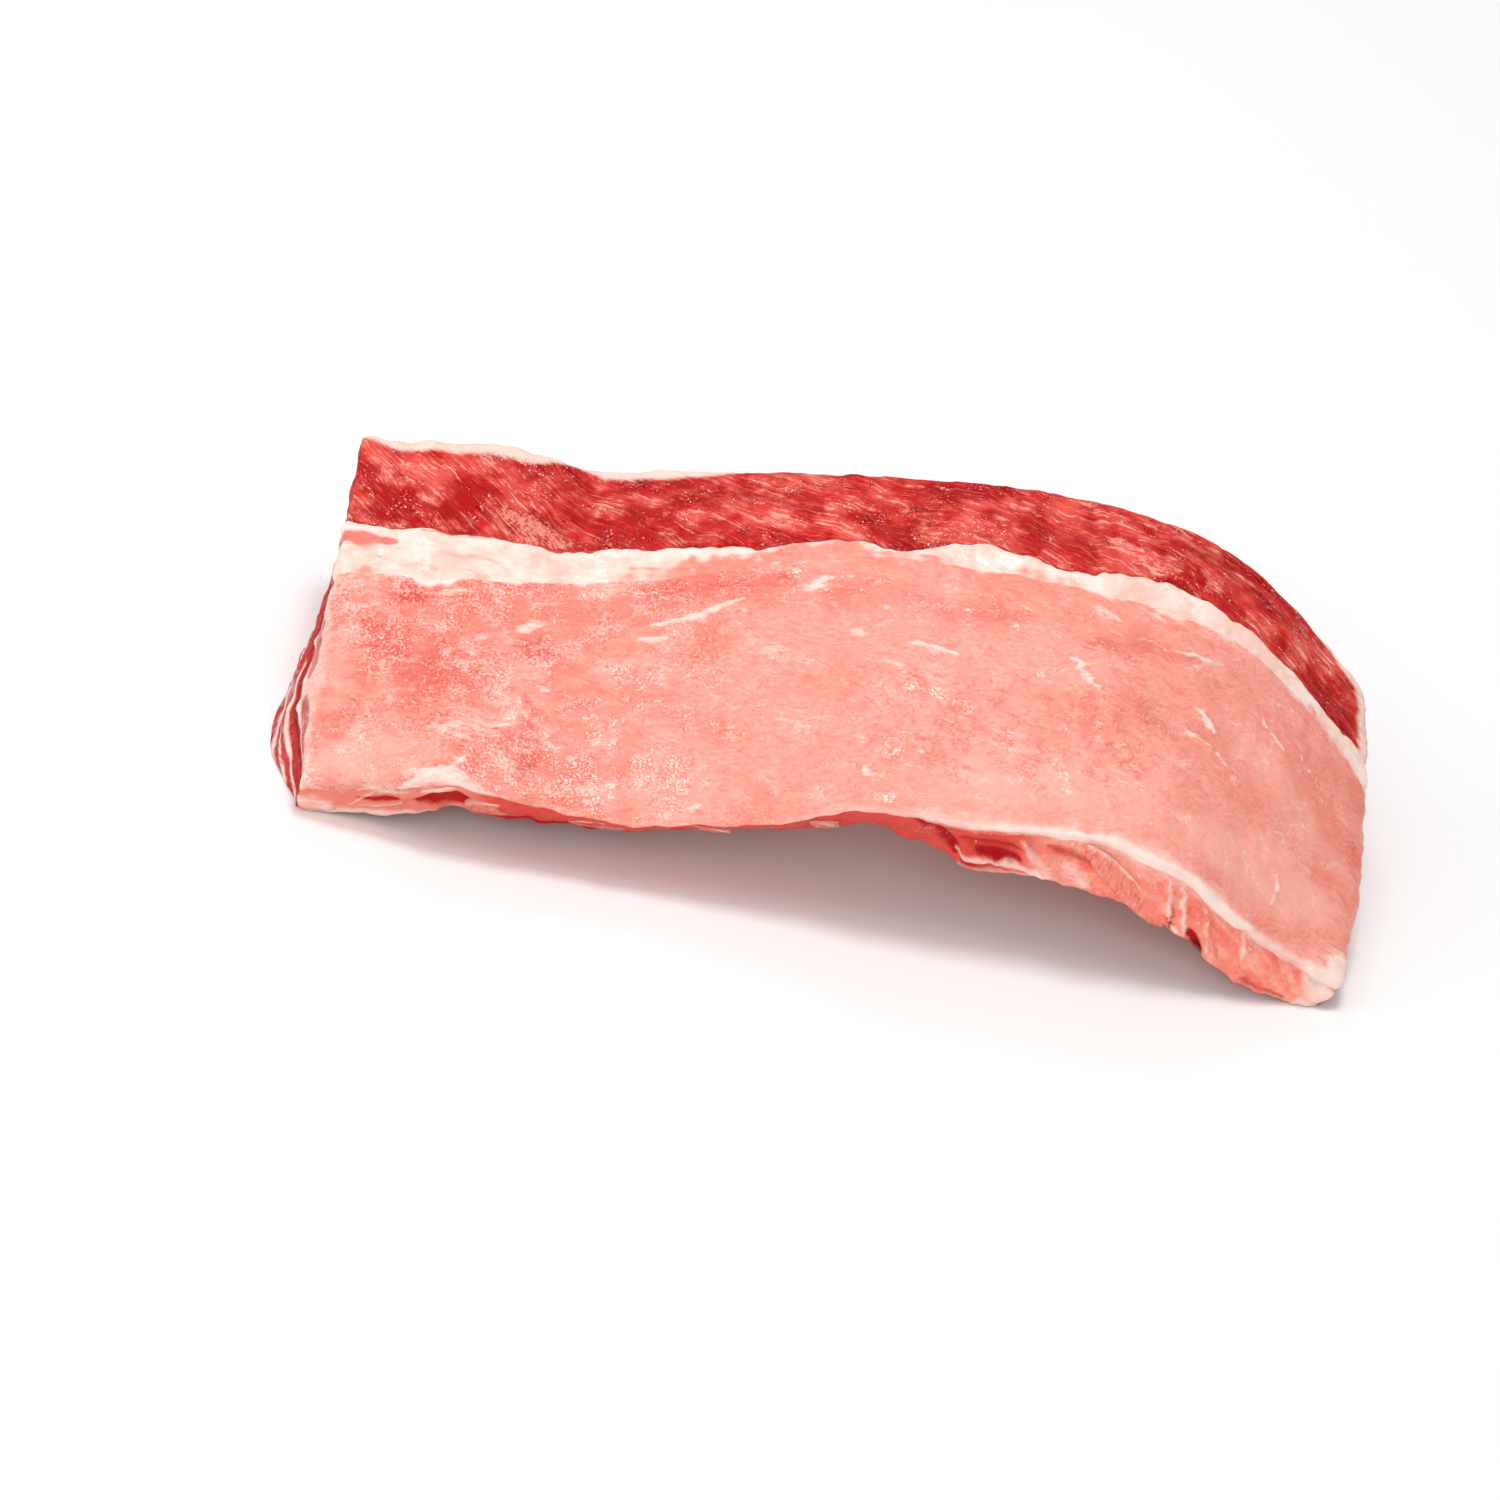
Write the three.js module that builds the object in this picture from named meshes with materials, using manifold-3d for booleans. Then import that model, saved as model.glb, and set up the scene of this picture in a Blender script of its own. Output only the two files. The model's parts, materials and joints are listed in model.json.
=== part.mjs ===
// A raw rack of pork back ribs, arched along its length and lying bone side down.
// Millimetres, +Z up. X runs along the rack, -Y is the sawn edge with the rib ends.
// The origin is on the floor below the middle of the rack.

import * as THREE from "three";
import Module from "manifold-3d";

const wasm = await Module();
wasm.setup();

// Driving dimensions of the whole rack
const LEFT_END = -140;
const RIGHT_END = 149.5;
const RIB_COUNT = 10;
const FIRST_RIB_X = -117.5;
const RIB_PITCH = 27.6;

// Loft stations along X. Each guide is [y, z]: the sawn lip of the pale cap, the seam where
// the cap ends, the ridge where the fat ends, the top of the back and the foot of the back.
// cut is the height of the sawn face below the lip and under is how far it leans inwards.
const STATIONS = [
  { x: -140, lip: [-53, 12], seam: [13, 38], ridge: [26, 44], back: [64, 48], foot: [62, -4], cut: 14.5, under: 4 },
  { x: -100, lip: [-60, 20], seam: [14, 41.5], ridge: [26, 48], back: [62, 55], foot: [60, 11], cut: 13, under: 9 },
  { x: -55, lip: [-62, 19.5], seam: [15, 50], ridge: [23, 53.5], back: [60, 57], foot: [58, 17], cut: 11.5, under: 14 },
  { x: -10, lip: [-63, 29], seam: [18, 64], ridge: [21.5, 65.5], back: [58, 65], foot: [56, 23], cut: 12.5, under: 15 },
  { x: 40, lip: [-65, 38], seam: [18, 68.5], ridge: [22, 70], back: [57, 71], foot: [55, 28], cut: 14, under: 6 },
  { x: 80, lip: [-66, 38.5], seam: [18, 66], ridge: [22.5, 68], back: [54, 71], foot: [52, 27], cut: 18, under: 0 },
  { x: 112, lip: [-67, 22], seam: [16, 56], ridge: [20.5, 58], back: [51, 62], foot: [49, 17], cut: 16, under: -1 },
  { x: 149.5, lip: [-66, 8], seam: [5, 27], ridge: [10, 29], back: [42, 36], foot: [40, -4], cut: 10.5, under: 0 },
];

// Layers, measured square to the surface
const CAP_EDGE = 1.2;
const CAP_MIDDLE = 7;
const FAT_UNDER_LIP = 1.9;
const FAT_UNDER_CAP = 3;
const FAT_AT_RIDGE = 5;
const RIDGE_STEP = 2.2;
const LAYER_GAP = 0.35;
const RIDGE_GAP = 0.6;
// Shares of the cap, from lip to seam, at which the layers change
const LIP_BLEND = 0.2;
const FAT_FULL_FROM = 0.3;
const FAT_GROWS_FROM = 0.7;
// Share of the way from seam to ridge at which the fat comes out bare
const BARE_FAT_START = 0.12;

// Swell of each face above the straight line between its guides
const CAP_SWELL_AT_ENDS = 0.8;
const CAP_SWELL_AT_MIDDLE = 3.5;
const BARE_FAT_SWELL = 0.5;
const BAND_SWELL = 3;
const BAND_FLATTENS = 0.5;
const BACK_SWELL = 5;
const HOLLOW_AT_ENDS = 4;
const HOLLOW_AT_MIDDLE = 13;
const RIB_SWELL = 1.8;

// The ends: the left cut bulges outwards below, the right cut is bowed and undercut
const LEFT_BULGE = 10;
const LEFT_BULGE_Y = -20;
const LEFT_BULGE_FRONT = 20;
const LEFT_BULGE_BACK = 45;
const LEFT_SLANT = 0.05;
const RIGHT_UNDERCUT = 5;
const RIGHT_BOW = 0.0013;
const RIGHT_BOW_Y = 15;
const END_ZONE = 0.2;

// Waves along the guides: where, how long, and how far they move the guide in [y, z]
const WAVES = {
  lip: [
    { x: -103, half: 8, by: [0, 1.5] },
    { x: 8, half: 15, by: [0, 4.5] },
  ],
  ridge: [
    { x: -83, half: 16, by: [-4, -1] },
    { x: 12, half: 11, by: [-0.8, -2] },
    { x: 29, half: 12, by: [5, 0.5] },
    { x: 82, half: 14, by: [4, 0.3] },
  ],
  back: [{ x: -72, half: 15, by: [0, -4] }],
};

// Rib bones: flat ovals, thicker towards the back
const BONE_WIDTH = 15;
const BONE_FRONT_HEIGHT = 6.6;
const BONE_BACK_HEIGHT = 9;
const BONE_COVER = 1.1;
const BONE_COVER_MIDDLE = 2.8;
const BONE_CLEARANCE = 0.3;
const BONE_OVERRUN = 12;

// Facets
const STEPS_PER_RIB = 4;
const CAP_STEPS = 9;
const BARE_FAT_STEPS = 2;
const BAND_STEPS = 6;
const BACK_STEPS = 3;
const BONE_SIDE_STEPS = 15;
const BONE_SIDES = 10;
const BONE_STEPS = 7;

const { lerp, smoothstep, clamp } = THREE.MathUtils;

// Value of a guide at x, by a cubic through the stations around it
function guide(pick, x) {
  const last = STATIONS.length - 2;
  let i = STATIONS.findIndex((station) => station.x > x) - 1;
  if (i < 0) i = x < STATIONS[0].x ? 0 : last;
  const slope = (k) => {
    const before = STATIONS[Math.max(k - 1, 0)];
    const after = STATIONS[Math.min(k + 1, STATIONS.length - 1)];
    return (pick(after) - pick(before)) / (after.x - before.x);
  };
  const [a, b] = [STATIONS[i], STATIONS[i + 1]];
  const span = b.x - a.x;
  const t = clamp((x - a.x) / span, 0, 1);
  const [t2, t3] = [t * t, t * t * t];
  return (
    pick(a) * (2 * t3 - 3 * t2 + 1) +
    slope(i) * span * (t3 - 2 * t2 + t) +
    pick(b) * (3 * t2 - 2 * t3) +
    slope(i + 1) * span * (t3 - t2)
  );
}

// Point of a guide at x, with its waves
function pointOf(name, x) {
  const point = new THREE.Vector2(guide((s) => s[name][0], x), guide((s) => s[name][1], x));
  for (const wave of WAVES[name] ?? [])
    point.addScaledVector(new THREE.Vector2(...wave.by), Math.exp(-(((x - wave.x) / wave.half) ** 2)));
  return point;
}

const ribX = (k) => FIRST_RIB_X + k * RIB_PITCH;

// Sections of the loft: both ends, and between them in step with the ribs
const SECTION_STEP = RIB_PITCH / STEPS_PER_RIB;
const SECTION_XS = [LEFT_END];
for (let x = FIRST_RIB_X - RIB_PITCH / 2; x < RIGHT_END - SECTION_STEP / 2; x += SECTION_STEP)
  SECTION_XS.push(x);
SECTION_XS.push(RIGHT_END);

// Height of the rib bulges on the bone side at x
function ribBulge(x) {
  const phase = (x - FIRST_RIB_X) / RIB_PITCH;
  return RIB_SWELL * Math.cos(Math.PI * (phase - Math.round(phase))) ** 2;
}

// All guide points and directions of the cross-section at x
function sectionAt(x) {
  const lip = pointOf("lip", x);
  const seam = pointOf("seam", x);
  const ridge = pointOf("ridge", x);
  const cut = new THREE.Vector2(guide((s) => s.under, x), -guide((s) => s.cut, x));
  const chord = seam.clone().sub(lip).normalize();
  const along = clamp((x - LEFT_END) / (RIGHT_END - LEFT_END), 0, 1);
  return {
    x,
    along,
    lip,
    seam,
    ridge,
    back: pointOf("back", x),
    foot: pointOf("foot", x),
    heel: lip.clone().add(cut),
    cutDown: cut.clone().normalize(),
    capIn: new THREE.Vector2(chord.y, -chord.x),
    swell: lerp(CAP_SWELL_AT_ENDS, CAP_SWELL_AT_MIDDLE, Math.sin(Math.PI * along)),
    hollow: lerp(HOLLOW_AT_ENDS, HOLLOW_AT_MIDDLE, Math.sin(Math.PI * along)),
  };
}

// Direction into the rack at share t of the cap: along the sawn face at the lip, square to the cap after it
const inwards = (section, t) =>
  section.cutDown.clone().lerp(section.capIn, smoothstep(t, 0, LIP_BLEND)).normalize();

const capTop = (section, t) =>
  section.lip
    .clone()
    .lerp(section.seam, t)
    .addScaledVector(section.capIn, -section.swell * 4 * t * (1 - t));

const capDepth = (t) => lerp(CAP_EDGE, CAP_MIDDLE, Math.sin(Math.PI * t));

function fatDepth(t) {
  const underCap = lerp(FAT_UNDER_LIP, FAT_UNDER_CAP, smoothstep(t, 0, FAT_FULL_FROM));
  return lerp(underCap, FAT_AT_RIDGE, smoothstep(t, FAT_GROWS_FROM, 1));
}

const belowCap = (section, t, depth) => capTop(section, t).addScaledVector(inwards(section, t), depth);

// Point of the bone side at share t from the sawn heel to the foot of the back
function boneSide(section, t) {
  const point = section.heel.clone().lerp(section.foot, t);
  const arch = Math.sin(Math.PI * t) ** 2;
  point.y += arch * (section.hollow - ribBulge(section.x));
  return point;
}

const steps = (count, make) => Array.from({ length: count + 1 }, (_, i) => make(i / count));

// Profiles of the three layers, each a top line and a bottom line from front to back

function capProfile(section) {
  return {
    top: steps(CAP_STEPS, (t) => capTop(section, t)),
    bottom: steps(CAP_STEPS, (t) => belowCap(section, t, capDepth(t))),
  };
}

function fatProfile(section) {
  const under = (extra) =>
    steps(CAP_STEPS, (t) => belowCap(section, t, capDepth(t) + LAYER_GAP + extra * fatDepth(t)));
  const start = section.seam.clone().lerp(section.ridge, BARE_FAT_START);
  const bare = steps(BARE_FAT_STEPS, (t) =>
    start.clone().lerp(section.ridge, t).add(new THREE.Vector2(0, BARE_FAT_SWELL * Math.sin(Math.PI * t))),
  );
  const toe = new THREE.Vector2(section.ridge.x, section.ridge.y - FAT_AT_RIDGE);
  return { top: [...under(0), ...bare], bottom: [...under(1), toe] };
}

function meatProfile(section) {
  const under = steps(CAP_STEPS, (t) =>
    belowCap(section, t, capDepth(t) + fatDepth(t) + 2 * LAYER_GAP),
  );
  const pit = new THREE.Vector2(
    section.ridge.x + RIDGE_GAP,
    section.ridge.y - FAT_AT_RIDGE - RIDGE_GAP,
  );
  const bandStart = new THREE.Vector2(section.ridge.x + RIDGE_GAP, section.ridge.y - RIDGE_STEP);
  const band = steps(BAND_STEPS, (t) => {
    const point = bandStart.clone().lerp(section.back, t);
    point.y += BAND_SWELL * Math.sin(Math.PI * t) * (1 - BAND_FLATTENS * t);
    return point;
  });
  const behind = steps(BACK_STEPS, (t) => {
    const point = section.back.clone().lerp(section.foot, t);
    point.x += BACK_SWELL * Math.sin(Math.PI * t);
    return point;
  }).slice(1, -1);
  return {
    top: [...under, pit, ...band, ...behind],
    bottom: steps(BONE_SIDE_STEPS, (t) => boneSide(section, t)),
  };
}

// Height of the straight line lip, seam, back at y
function skyline(section, y) {
  const { lip, seam, back } = section;
  const [from, to] = y < seam.x ? [lip, seam] : [seam, back];
  return lerp(from.y, to.y, clamp((y - from.x) / (to.x - from.x), 0, 1));
}

// A section point in space: towards the ends it shifts along X with its y and its depth
function place(section, point) {
  const { x, y: height } = point;
  const depth = clamp(1 - height / skyline(section, x), 0, 1);
  const half = x < LEFT_BULGE_Y ? LEFT_BULGE_FRONT : LEFT_BULGE_BACK;
  const hump = Math.exp(-(((x - LEFT_BULGE_Y) / half) ** 2));
  const leftShift = LEFT_SLANT * Math.max(x, 0) - LEFT_BULGE * depth * hump;
  const rightShift = -RIGHT_BOW * (x - RIGHT_BOW_Y) ** 2 - RIGHT_UNDERCUT * depth;
  const shift =
    leftShift * (1 - smoothstep(section.along, 0, END_ZONE)) +
    rightShift * smoothstep(section.along, 1 - END_ZONE, 1);
  return new THREE.Vector3(section.x + shift, x, Math.max(height, 0));
}

// A closed solid through the outlines of all sections, capped at both ends
function loft(profileOf) {
  const outlines = SECTION_XS.map((x) => {
    const { top, bottom } = profileOf(sectionAt(x));
    return [...top, ...bottom.reverse()];
  });
  const size = outlines[0].length;
  const far = SECTION_XS.length - 1;
  const at = (ring, k) => ring * size + (k % size);
  const index = [];
  for (let ring = 0; ring < far; ring++)
    for (let k = 0; k < size; k++) {
      index.push(at(ring, k), at(ring + 1, k), at(ring + 1, k + 1));
      index.push(at(ring, k), at(ring + 1, k + 1), at(ring, k + 1));
    }
  for (const ring of [0, far]) {
    const outline = outlines[ring];
    for (const face of THREE.ShapeUtils.triangulateShape(outline, [])) {
      const facesRight = THREE.ShapeUtils.area(face.map((k) => outline[k])) > 0;
      const [a, b, c] = facesRight === (ring === far) ? face : face.toReversed();
      index.push(at(ring, a), at(ring, b), at(ring, c));
    }
  }
  const points = outlines.flatMap((outline, ring) => {
    const section = sectionAt(SECTION_XS[ring]);
    return outline.map((point) => place(section, point));
  });
  return { points, index };
}

// A flat oval tube along the rib at x, grown by a clearance and tilted with the rack
function boneTube(x, grown) {
  const section = sectionAt(x);
  const [before, after] = [sectionAt(x - RIB_PITCH / 2), sectionAt(x + RIB_PITCH / 2)];
  const heightAt = (t) => lerp(BONE_FRONT_HEIGHT, BONE_BACK_HEIGHT, t);
  const rings = steps(BONE_STEPS, (t) => {
    const centre = boneSide(section, t);
    const cover = lerp(BONE_COVER, BONE_COVER_MIDDLE, Math.sin(Math.PI * t));
    centre.y = Math.max(centre.y, 0) + cover + heightAt(t) / 2;
    if (t === 0) centre.x -= BONE_OVERRUN;
    if (t === 1) centre.x += BONE_OVERRUN;
    const middle = place(section, centre);
    const tilt = Math.atan((boneSide(after, t).y - boneSide(before, t).y) / RIB_PITCH);
    return steps(BONE_SIDES - 1, (turn) => {
      const angle = (2 * Math.PI * turn * (BONE_SIDES - 1)) / BONE_SIDES;
      const across = (BONE_WIDTH / 2 + grown) * Math.cos(angle);
      const up = (heightAt(t) / 2 + grown) * Math.sin(angle);
      return new THREE.Vector3(
        middle.x + across * Math.cos(tilt) - up * Math.sin(tilt),
        middle.y,
        middle.z + across * Math.sin(tilt) + up * Math.cos(tilt),
      );
    });
  });
  const at = (ring, k) => ring * BONE_SIDES + (k % BONE_SIDES);
  const index = [];
  for (let ring = 0; ring < BONE_STEPS; ring++)
    for (let k = 0; k < BONE_SIDES; k++) {
      index.push(at(ring, k), at(ring + 1, k), at(ring + 1, k + 1));
      index.push(at(ring, k), at(ring + 1, k + 1), at(ring, k + 1));
    }
  for (let k = 1; k < BONE_SIDES - 1; k++) {
    index.push(at(0, 0), at(0, k), at(0, k + 1));
    index.push(at(BONE_STEPS, 0), at(BONE_STEPS, k + 1), at(BONE_STEPS, k));
  }
  return { points: rings.flat(), index };
}

const solidOf = ({ points, index }) =>
  new wasm.Manifold(
    new wasm.Mesh({
      numProp: 3,
      vertProperties: new Float32Array(points.flatMap((p) => [p.x, p.y, p.z])),
      triVerts: new Uint32Array(index),
    }),
  );

function meshOf(name, solid, { color, roughness }) {
  const { vertProperties, triVerts } = solid.getMesh();
  const geometry = new THREE.BufferGeometry();
  geometry.setAttribute("position", new THREE.BufferAttribute(new Float32Array(vertProperties), 3));
  geometry.setIndex(new THREE.BufferAttribute(new Uint32Array(triVerts), 1));
  geometry.computeVertexNormals();
  const material = new THREE.MeshStandardMaterial({ color, roughness, metalness: 0 });
  const mesh = new THREE.Mesh(geometry, material);
  mesh.name = name;
  return mesh;
}

// Finishes: wet raw pork, fat and sawn bone
const PALE_PORK = { color: 0xf3a193, roughness: 0.35 };
const WHITE_FAT = { color: 0xfbe6da, roughness: 0.45 };
const RED_MUSCLE = { color: 0xb5262b, roughness: 0.3 };
const BONE = { color: 0xe9c3b2, roughness: 0.5 };

const rack = new THREE.Group();
rack.name = "back_rib_rack";

rack.add(meshOf("pale_cap", solidOf(loft(capProfile)), PALE_PORK));
rack.add(meshOf("fat_layer", solidOf(loft(fatProfile)), WHITE_FAT));

const wholeMeat = solidOf(loft(meatProfile));
let boredMeat = wholeMeat;
for (let k = 0; k < RIB_COUNT; k++) {
  const rib = solidOf(boneTube(ribX(k), 0)).intersect(wholeMeat);
  rack.add(meshOf(`rib_bone_${String(k + 1).padStart(2, "0")}`, rib, BONE));
  boredMeat = boredMeat.subtract(solidOf(boneTube(ribX(k), BONE_CLEARANCE)));
}
rack.add(meshOf("rib_meat", boredMeat, RED_MUSCLE));

export default rack;
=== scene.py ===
import json
import math

import bpy
import numpy as np
from mathutils import Matrix, Vector
from mathutils.geometry import delaunay_2d_cdt

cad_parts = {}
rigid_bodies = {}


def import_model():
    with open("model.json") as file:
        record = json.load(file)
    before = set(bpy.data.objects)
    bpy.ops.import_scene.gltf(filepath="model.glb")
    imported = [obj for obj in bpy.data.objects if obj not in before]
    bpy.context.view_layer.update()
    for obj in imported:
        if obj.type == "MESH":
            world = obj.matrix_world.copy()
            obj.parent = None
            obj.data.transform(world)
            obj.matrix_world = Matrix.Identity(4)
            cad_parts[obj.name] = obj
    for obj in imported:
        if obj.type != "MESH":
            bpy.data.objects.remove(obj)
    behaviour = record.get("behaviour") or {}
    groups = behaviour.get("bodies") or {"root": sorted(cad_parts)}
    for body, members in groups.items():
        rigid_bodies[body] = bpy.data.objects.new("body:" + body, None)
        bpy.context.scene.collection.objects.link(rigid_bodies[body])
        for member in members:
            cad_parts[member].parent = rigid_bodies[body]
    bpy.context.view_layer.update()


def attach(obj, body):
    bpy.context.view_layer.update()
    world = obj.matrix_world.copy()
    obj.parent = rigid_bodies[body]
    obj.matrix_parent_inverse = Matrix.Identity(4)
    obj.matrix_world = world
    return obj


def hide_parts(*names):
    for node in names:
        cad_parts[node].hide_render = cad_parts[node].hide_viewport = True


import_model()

# All lengths of the rack are in millimetres until a mesh is made
MM = 0.001

# Guides of the rack, as in its solids: y and z at each station
LEFT_END, RIGHT_END = -140.0, 149.5
RIB_COUNT, FIRST_RIB, RIB_PITCH = 10, -117.5, 27.6
STATION_X = np.array([-140, -100, -55, -10, 40, 80, 112, 149.5])
GUIDES = {
    "lip": ([-53, -60, -62, -63, -65, -66, -67, -66], [12, 20, 19.5, 29, 38, 38.5, 22, 8]),
    "seam": ([13, 14, 15, 18, 18, 18, 16, 5], [38, 41.5, 50, 64, 68.5, 66, 56, 27]),
    "ridge": ([26, 26, 23, 21.5, 22, 22.5, 20.5, 10], [44, 48, 53.5, 65.5, 70, 68, 58, 29]),
    "back": ([64, 62, 60, 58, 57, 54, 51, 42], [48, 55, 57, 65, 71, 71, 62, 36]),
    "foot": ([62, 60, 58, 56, 55, 52, 49, 40], [-4, 11, 17, 23, 28, 27, 17, -4]),
    "cut": ([4, 9, 14, 15, 6, 0, -1, 0], [-14.5, -13, -11.5, -12.5, -14, -18, -16, -10.5]),
}
# Waves on a guide: x, half length, move in y, move in z
WAVES = {
    "lip": [(-103, 8, 0, 1.5), (8, 15, 0, 4.5)],
    "ridge": [(-83, 16, -4, -1), (12, 11, -0.8, -2), (29, 12, 5, 0.5), (82, 14, 4, 0.3)],
    "back": [(-72, 15, 0, -4), (-141, 6, 0, 2.5)],
    "cut": [(38, 10, 0, -2.6)],
}
# Ragged edges of a guide: first seed, then lump length, move in y and move in z
RAGGED = {
    "lip": (15, [(13, 1.0, 0.9), (5, 0.7, 0.5), (2.3, 0.35, 0.25)]),
    "seam": (20, [(14, 0.8, 0.0)]),
    "ridge": (25, [(22, 1.3, 0.2), (9, 1.2, 0.2), (4, 0.8, 0.15), (2, 0.3, 0.1)]),
    "back": (20, [(16, 0.9, 0.8), (6, 0.4, 0.4)]),
    "heel": (20, [(9, 0.5, 0.9), (4, 0.4, 0.7), (2, 0.2, 0.35)]),
}

# Depths of the layers, and the width of the cap from lip to seam
CAP_EDGE, CAP_MIDDLE = 1.2, 7.0
FAT_LIP, FAT_MIDDLE, FAT_RIDGE = 1.9, 3.0, 5.0
RIDGE_STEP = 2.2
CAP_ACROSS = 82.0
# The cap's swell, the hollow of the bone side and the ribs in it: at the ends and added in the middle
CAP_SWELL, HOLLOW_DEPTH, RIB_DEPTH = (0.8, 2.7), (4, 9), 1.8
# How far the pink of the cap reaches past the seam
REACH_X = [-140, -128, -120, -114, -107, -103, -90, -75, -60, -42, -20, 0, 15, 35, 60, 90, 149.5]
REACH = [-1.5, 0.5, -1.0, -4.5, -4.0, -0.5, -1.2, -0.8, -0.8, 2.0, 2.8, 1.8, 0.2, -0.5, -1.5, -2.5, -2.0]
# The left end bulges round this y, less steeply towards the back; the right end is hollowed round its own
HUMP_Y, HUMP_FRONT, HUMP_BACK, HUMP_OUT = -20, 20.0, 45.0, 10
LEFT_SKEW, RIGHT_BOW, RIGHT_BOW_Y, RIGHT_IN = 0.05, 0.0013, 15, 5


# Noise

TABLE = 256
_draw = np.random.default_rng(20)
_order = np.tile(_draw.permutation(TABLE), 3)
_slopes = _draw.normal(size=(TABLE, 3))
_slopes /= np.linalg.norm(_slopes, axis=1, keepdims=True)
SEED_SHIFT, OCTAVE_SCALE, OCTAVE_SHIFT, LUMP_GAIN = 17.31, 2.03, 31.7, 1.7


def lumps(points, size, octaves=1, seed=0):
    """Smooth noise of about -1 to 1 with lumps of this size; each octave adds lumps of half the size."""
    p = np.asarray(points, float) / size + SEED_SHIFT * seed
    total, gain, reach = 0.0, 1.0, 0.0
    for _ in range(octaves):
        cell = np.floor(p).astype(int)
        f = p - cell
        smooth = f * f * f * (f * (f * 6 - 15) + 10)
        value = 0.0
        for corner in np.ndindex(2, 2, 2):
            c = (cell + corner) & (TABLE - 1)
            h = _order[_order[_order[c[..., 0]] + c[..., 1]] + c[..., 2]]
            weight = np.prod(np.where(np.array(corner, bool), smooth, 1 - smooth), axis=-1)
            value = value + weight * ((f - corner) * _slopes[h]).sum(-1)
        total = total + gain * value * LUMP_GAIN
        reach += gain
        gain *= 0.5
        p = p * OCTAVE_SCALE + OCTAVE_SHIFT
    return total / reach


def lumps_along(x, size, seed):
    """Noise along a line that runs off the grid of the noise."""
    x = np.asarray(x, float)
    return lumps(np.stack([x, 0 * x + 3.7, 0 * x + 9.1], -1), size, 1, seed)


# Guides and sections

def ease(value, low, high):
    """0 below low, 1 above high, smooth between."""
    k = np.clip((value - low) / (high - low), 0, 1)
    return k * k * (3 - 2 * k)


def bell(away, half):
    return np.exp(-((away / half) ** 2))


def spline(values, x):
    """A cubic through the stations, as the solids have."""
    v, n = np.asarray(values, float), len(STATION_X)
    low, high = np.maximum(np.arange(n) - 1, 0), np.minimum(np.arange(n) + 1, n - 1)
    slope = (v[high] - v[low]) / (STATION_X[high] - STATION_X[low])
    i = np.clip(np.searchsorted(STATION_X, x, side="right") - 1, 0, n - 2)
    span = STATION_X[i + 1] - STATION_X[i]
    t = np.clip((x - STATION_X[i]) / span, 0, 1)
    return (v[i] * (2 * t**3 - 3 * t**2 + 1) + slope[i] * span * (t**3 - 2 * t**2 + t)
            + v[i + 1] * (3 * t**2 - 2 * t**3) + slope[i + 1] * span * (t**3 - t**2))


def guide(name, x):
    x = np.asarray(x, float)
    y, z = (spline(values, x) for values in GUIDES[name])
    for at, half, dy, dz in WAVES.get(name, []):
        wave = bell(x - at, half)
        y, z = y + dy * wave, z + dz * wave
    return np.stack([y, z], -1)


def frayed(name, x):
    """How far a ragged edge departs from its guide."""
    out = np.zeros(np.shape(x) + (2,))
    first, sizes = RAGGED[name]
    for seed, (size, dy, dz) in enumerate(sizes, first):
        out += np.stack([dy * lumps_along(x, size, seed), dz * lumps_along(x, size, seed + 3)], -1)
    return out


def along(x):
    return np.clip((x - LEFT_END) / (RIGHT_END - LEFT_END), 0, 1)


def from_end(x):
    return np.minimum(x - LEFT_END, RIGHT_END - x)


def unit(v):
    return v / np.linalg.norm(v, axis=-1, keepdims=True)


def cap_chord(x):
    """The lip, the run from it to the seam, and the direction square to that into the rack."""
    lip = guide("lip", x)
    run = guide("seam", x) - lip
    chord = unit(run)
    return lip, run, np.stack([chord[..., 1], -chord[..., 0]], -1)


def cap_top(x, t):
    lip, run, inwards = cap_chord(x)
    swell = CAP_SWELL[0] + CAP_SWELL[1] * np.sin(np.pi * along(x))
    point = lip + run * t[..., None] - inwards * (swell * 4 * t * (1 - t))[..., None]
    point = point + frayed("lip", x) * (1 - ease(t, 0, 0.07))[..., None]
    return point + frayed("seam", x) * ease(t, 0.9, 1)[..., None]


def below_cap(x, t, depth):
    """Points below the cap's top: along the sawn face at the lip, square to the cap further in."""
    k = ease(t, 0, 0.2)[..., None]
    inwards = unit(unit(guide("cut", x)) * (1 - k) + cap_chord(x)[2] * k)
    return cap_top(x, t) + inwards * np.asarray(depth)[..., None]


def cap_depth(t):
    return CAP_EDGE + (CAP_MIDDLE - CAP_EDGE) * np.sin(np.pi * t)


def fat_depth(t):
    under = FAT_LIP + (FAT_MIDDLE - FAT_LIP) * ease(t, 0, 0.3)
    return under + (FAT_RIDGE - under) * ease(t, 0.7, 1)


def pink_reach(x):
    """How far the pink of the cap runs past the seam over the fat; below 0 the fat runs over the cap."""
    return np.interp(x, REACH_X, REACH) + 2.4 * lumps_along(x, 10, 34) + 1.5 * lumps_along(x, 4, 35)


def lapped(x):
    """1 at the left, where the cap laps over the sawn face, and 0 elsewhere."""
    return 1 - ease(x, -112, -98)


def rib_swell(x):
    phase = (x - FIRST_RIB) / RIB_PITCH
    return np.cos(np.pi * (phase - np.round(phase))) ** 2


def bone_side(x, t):
    heel = guide("lip", x) + guide("cut", x)
    point = heel + (guide("foot", x) - heel) * t[..., None]
    hollow = HOLLOW_DEPTH[0] + HOLLOW_DEPTH[1] * np.sin(np.pi * along(x))
    point[..., 1] += np.sin(np.pi * t) ** 2 * (hollow - RIB_DEPTH * rib_swell(x))
    return point


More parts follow.
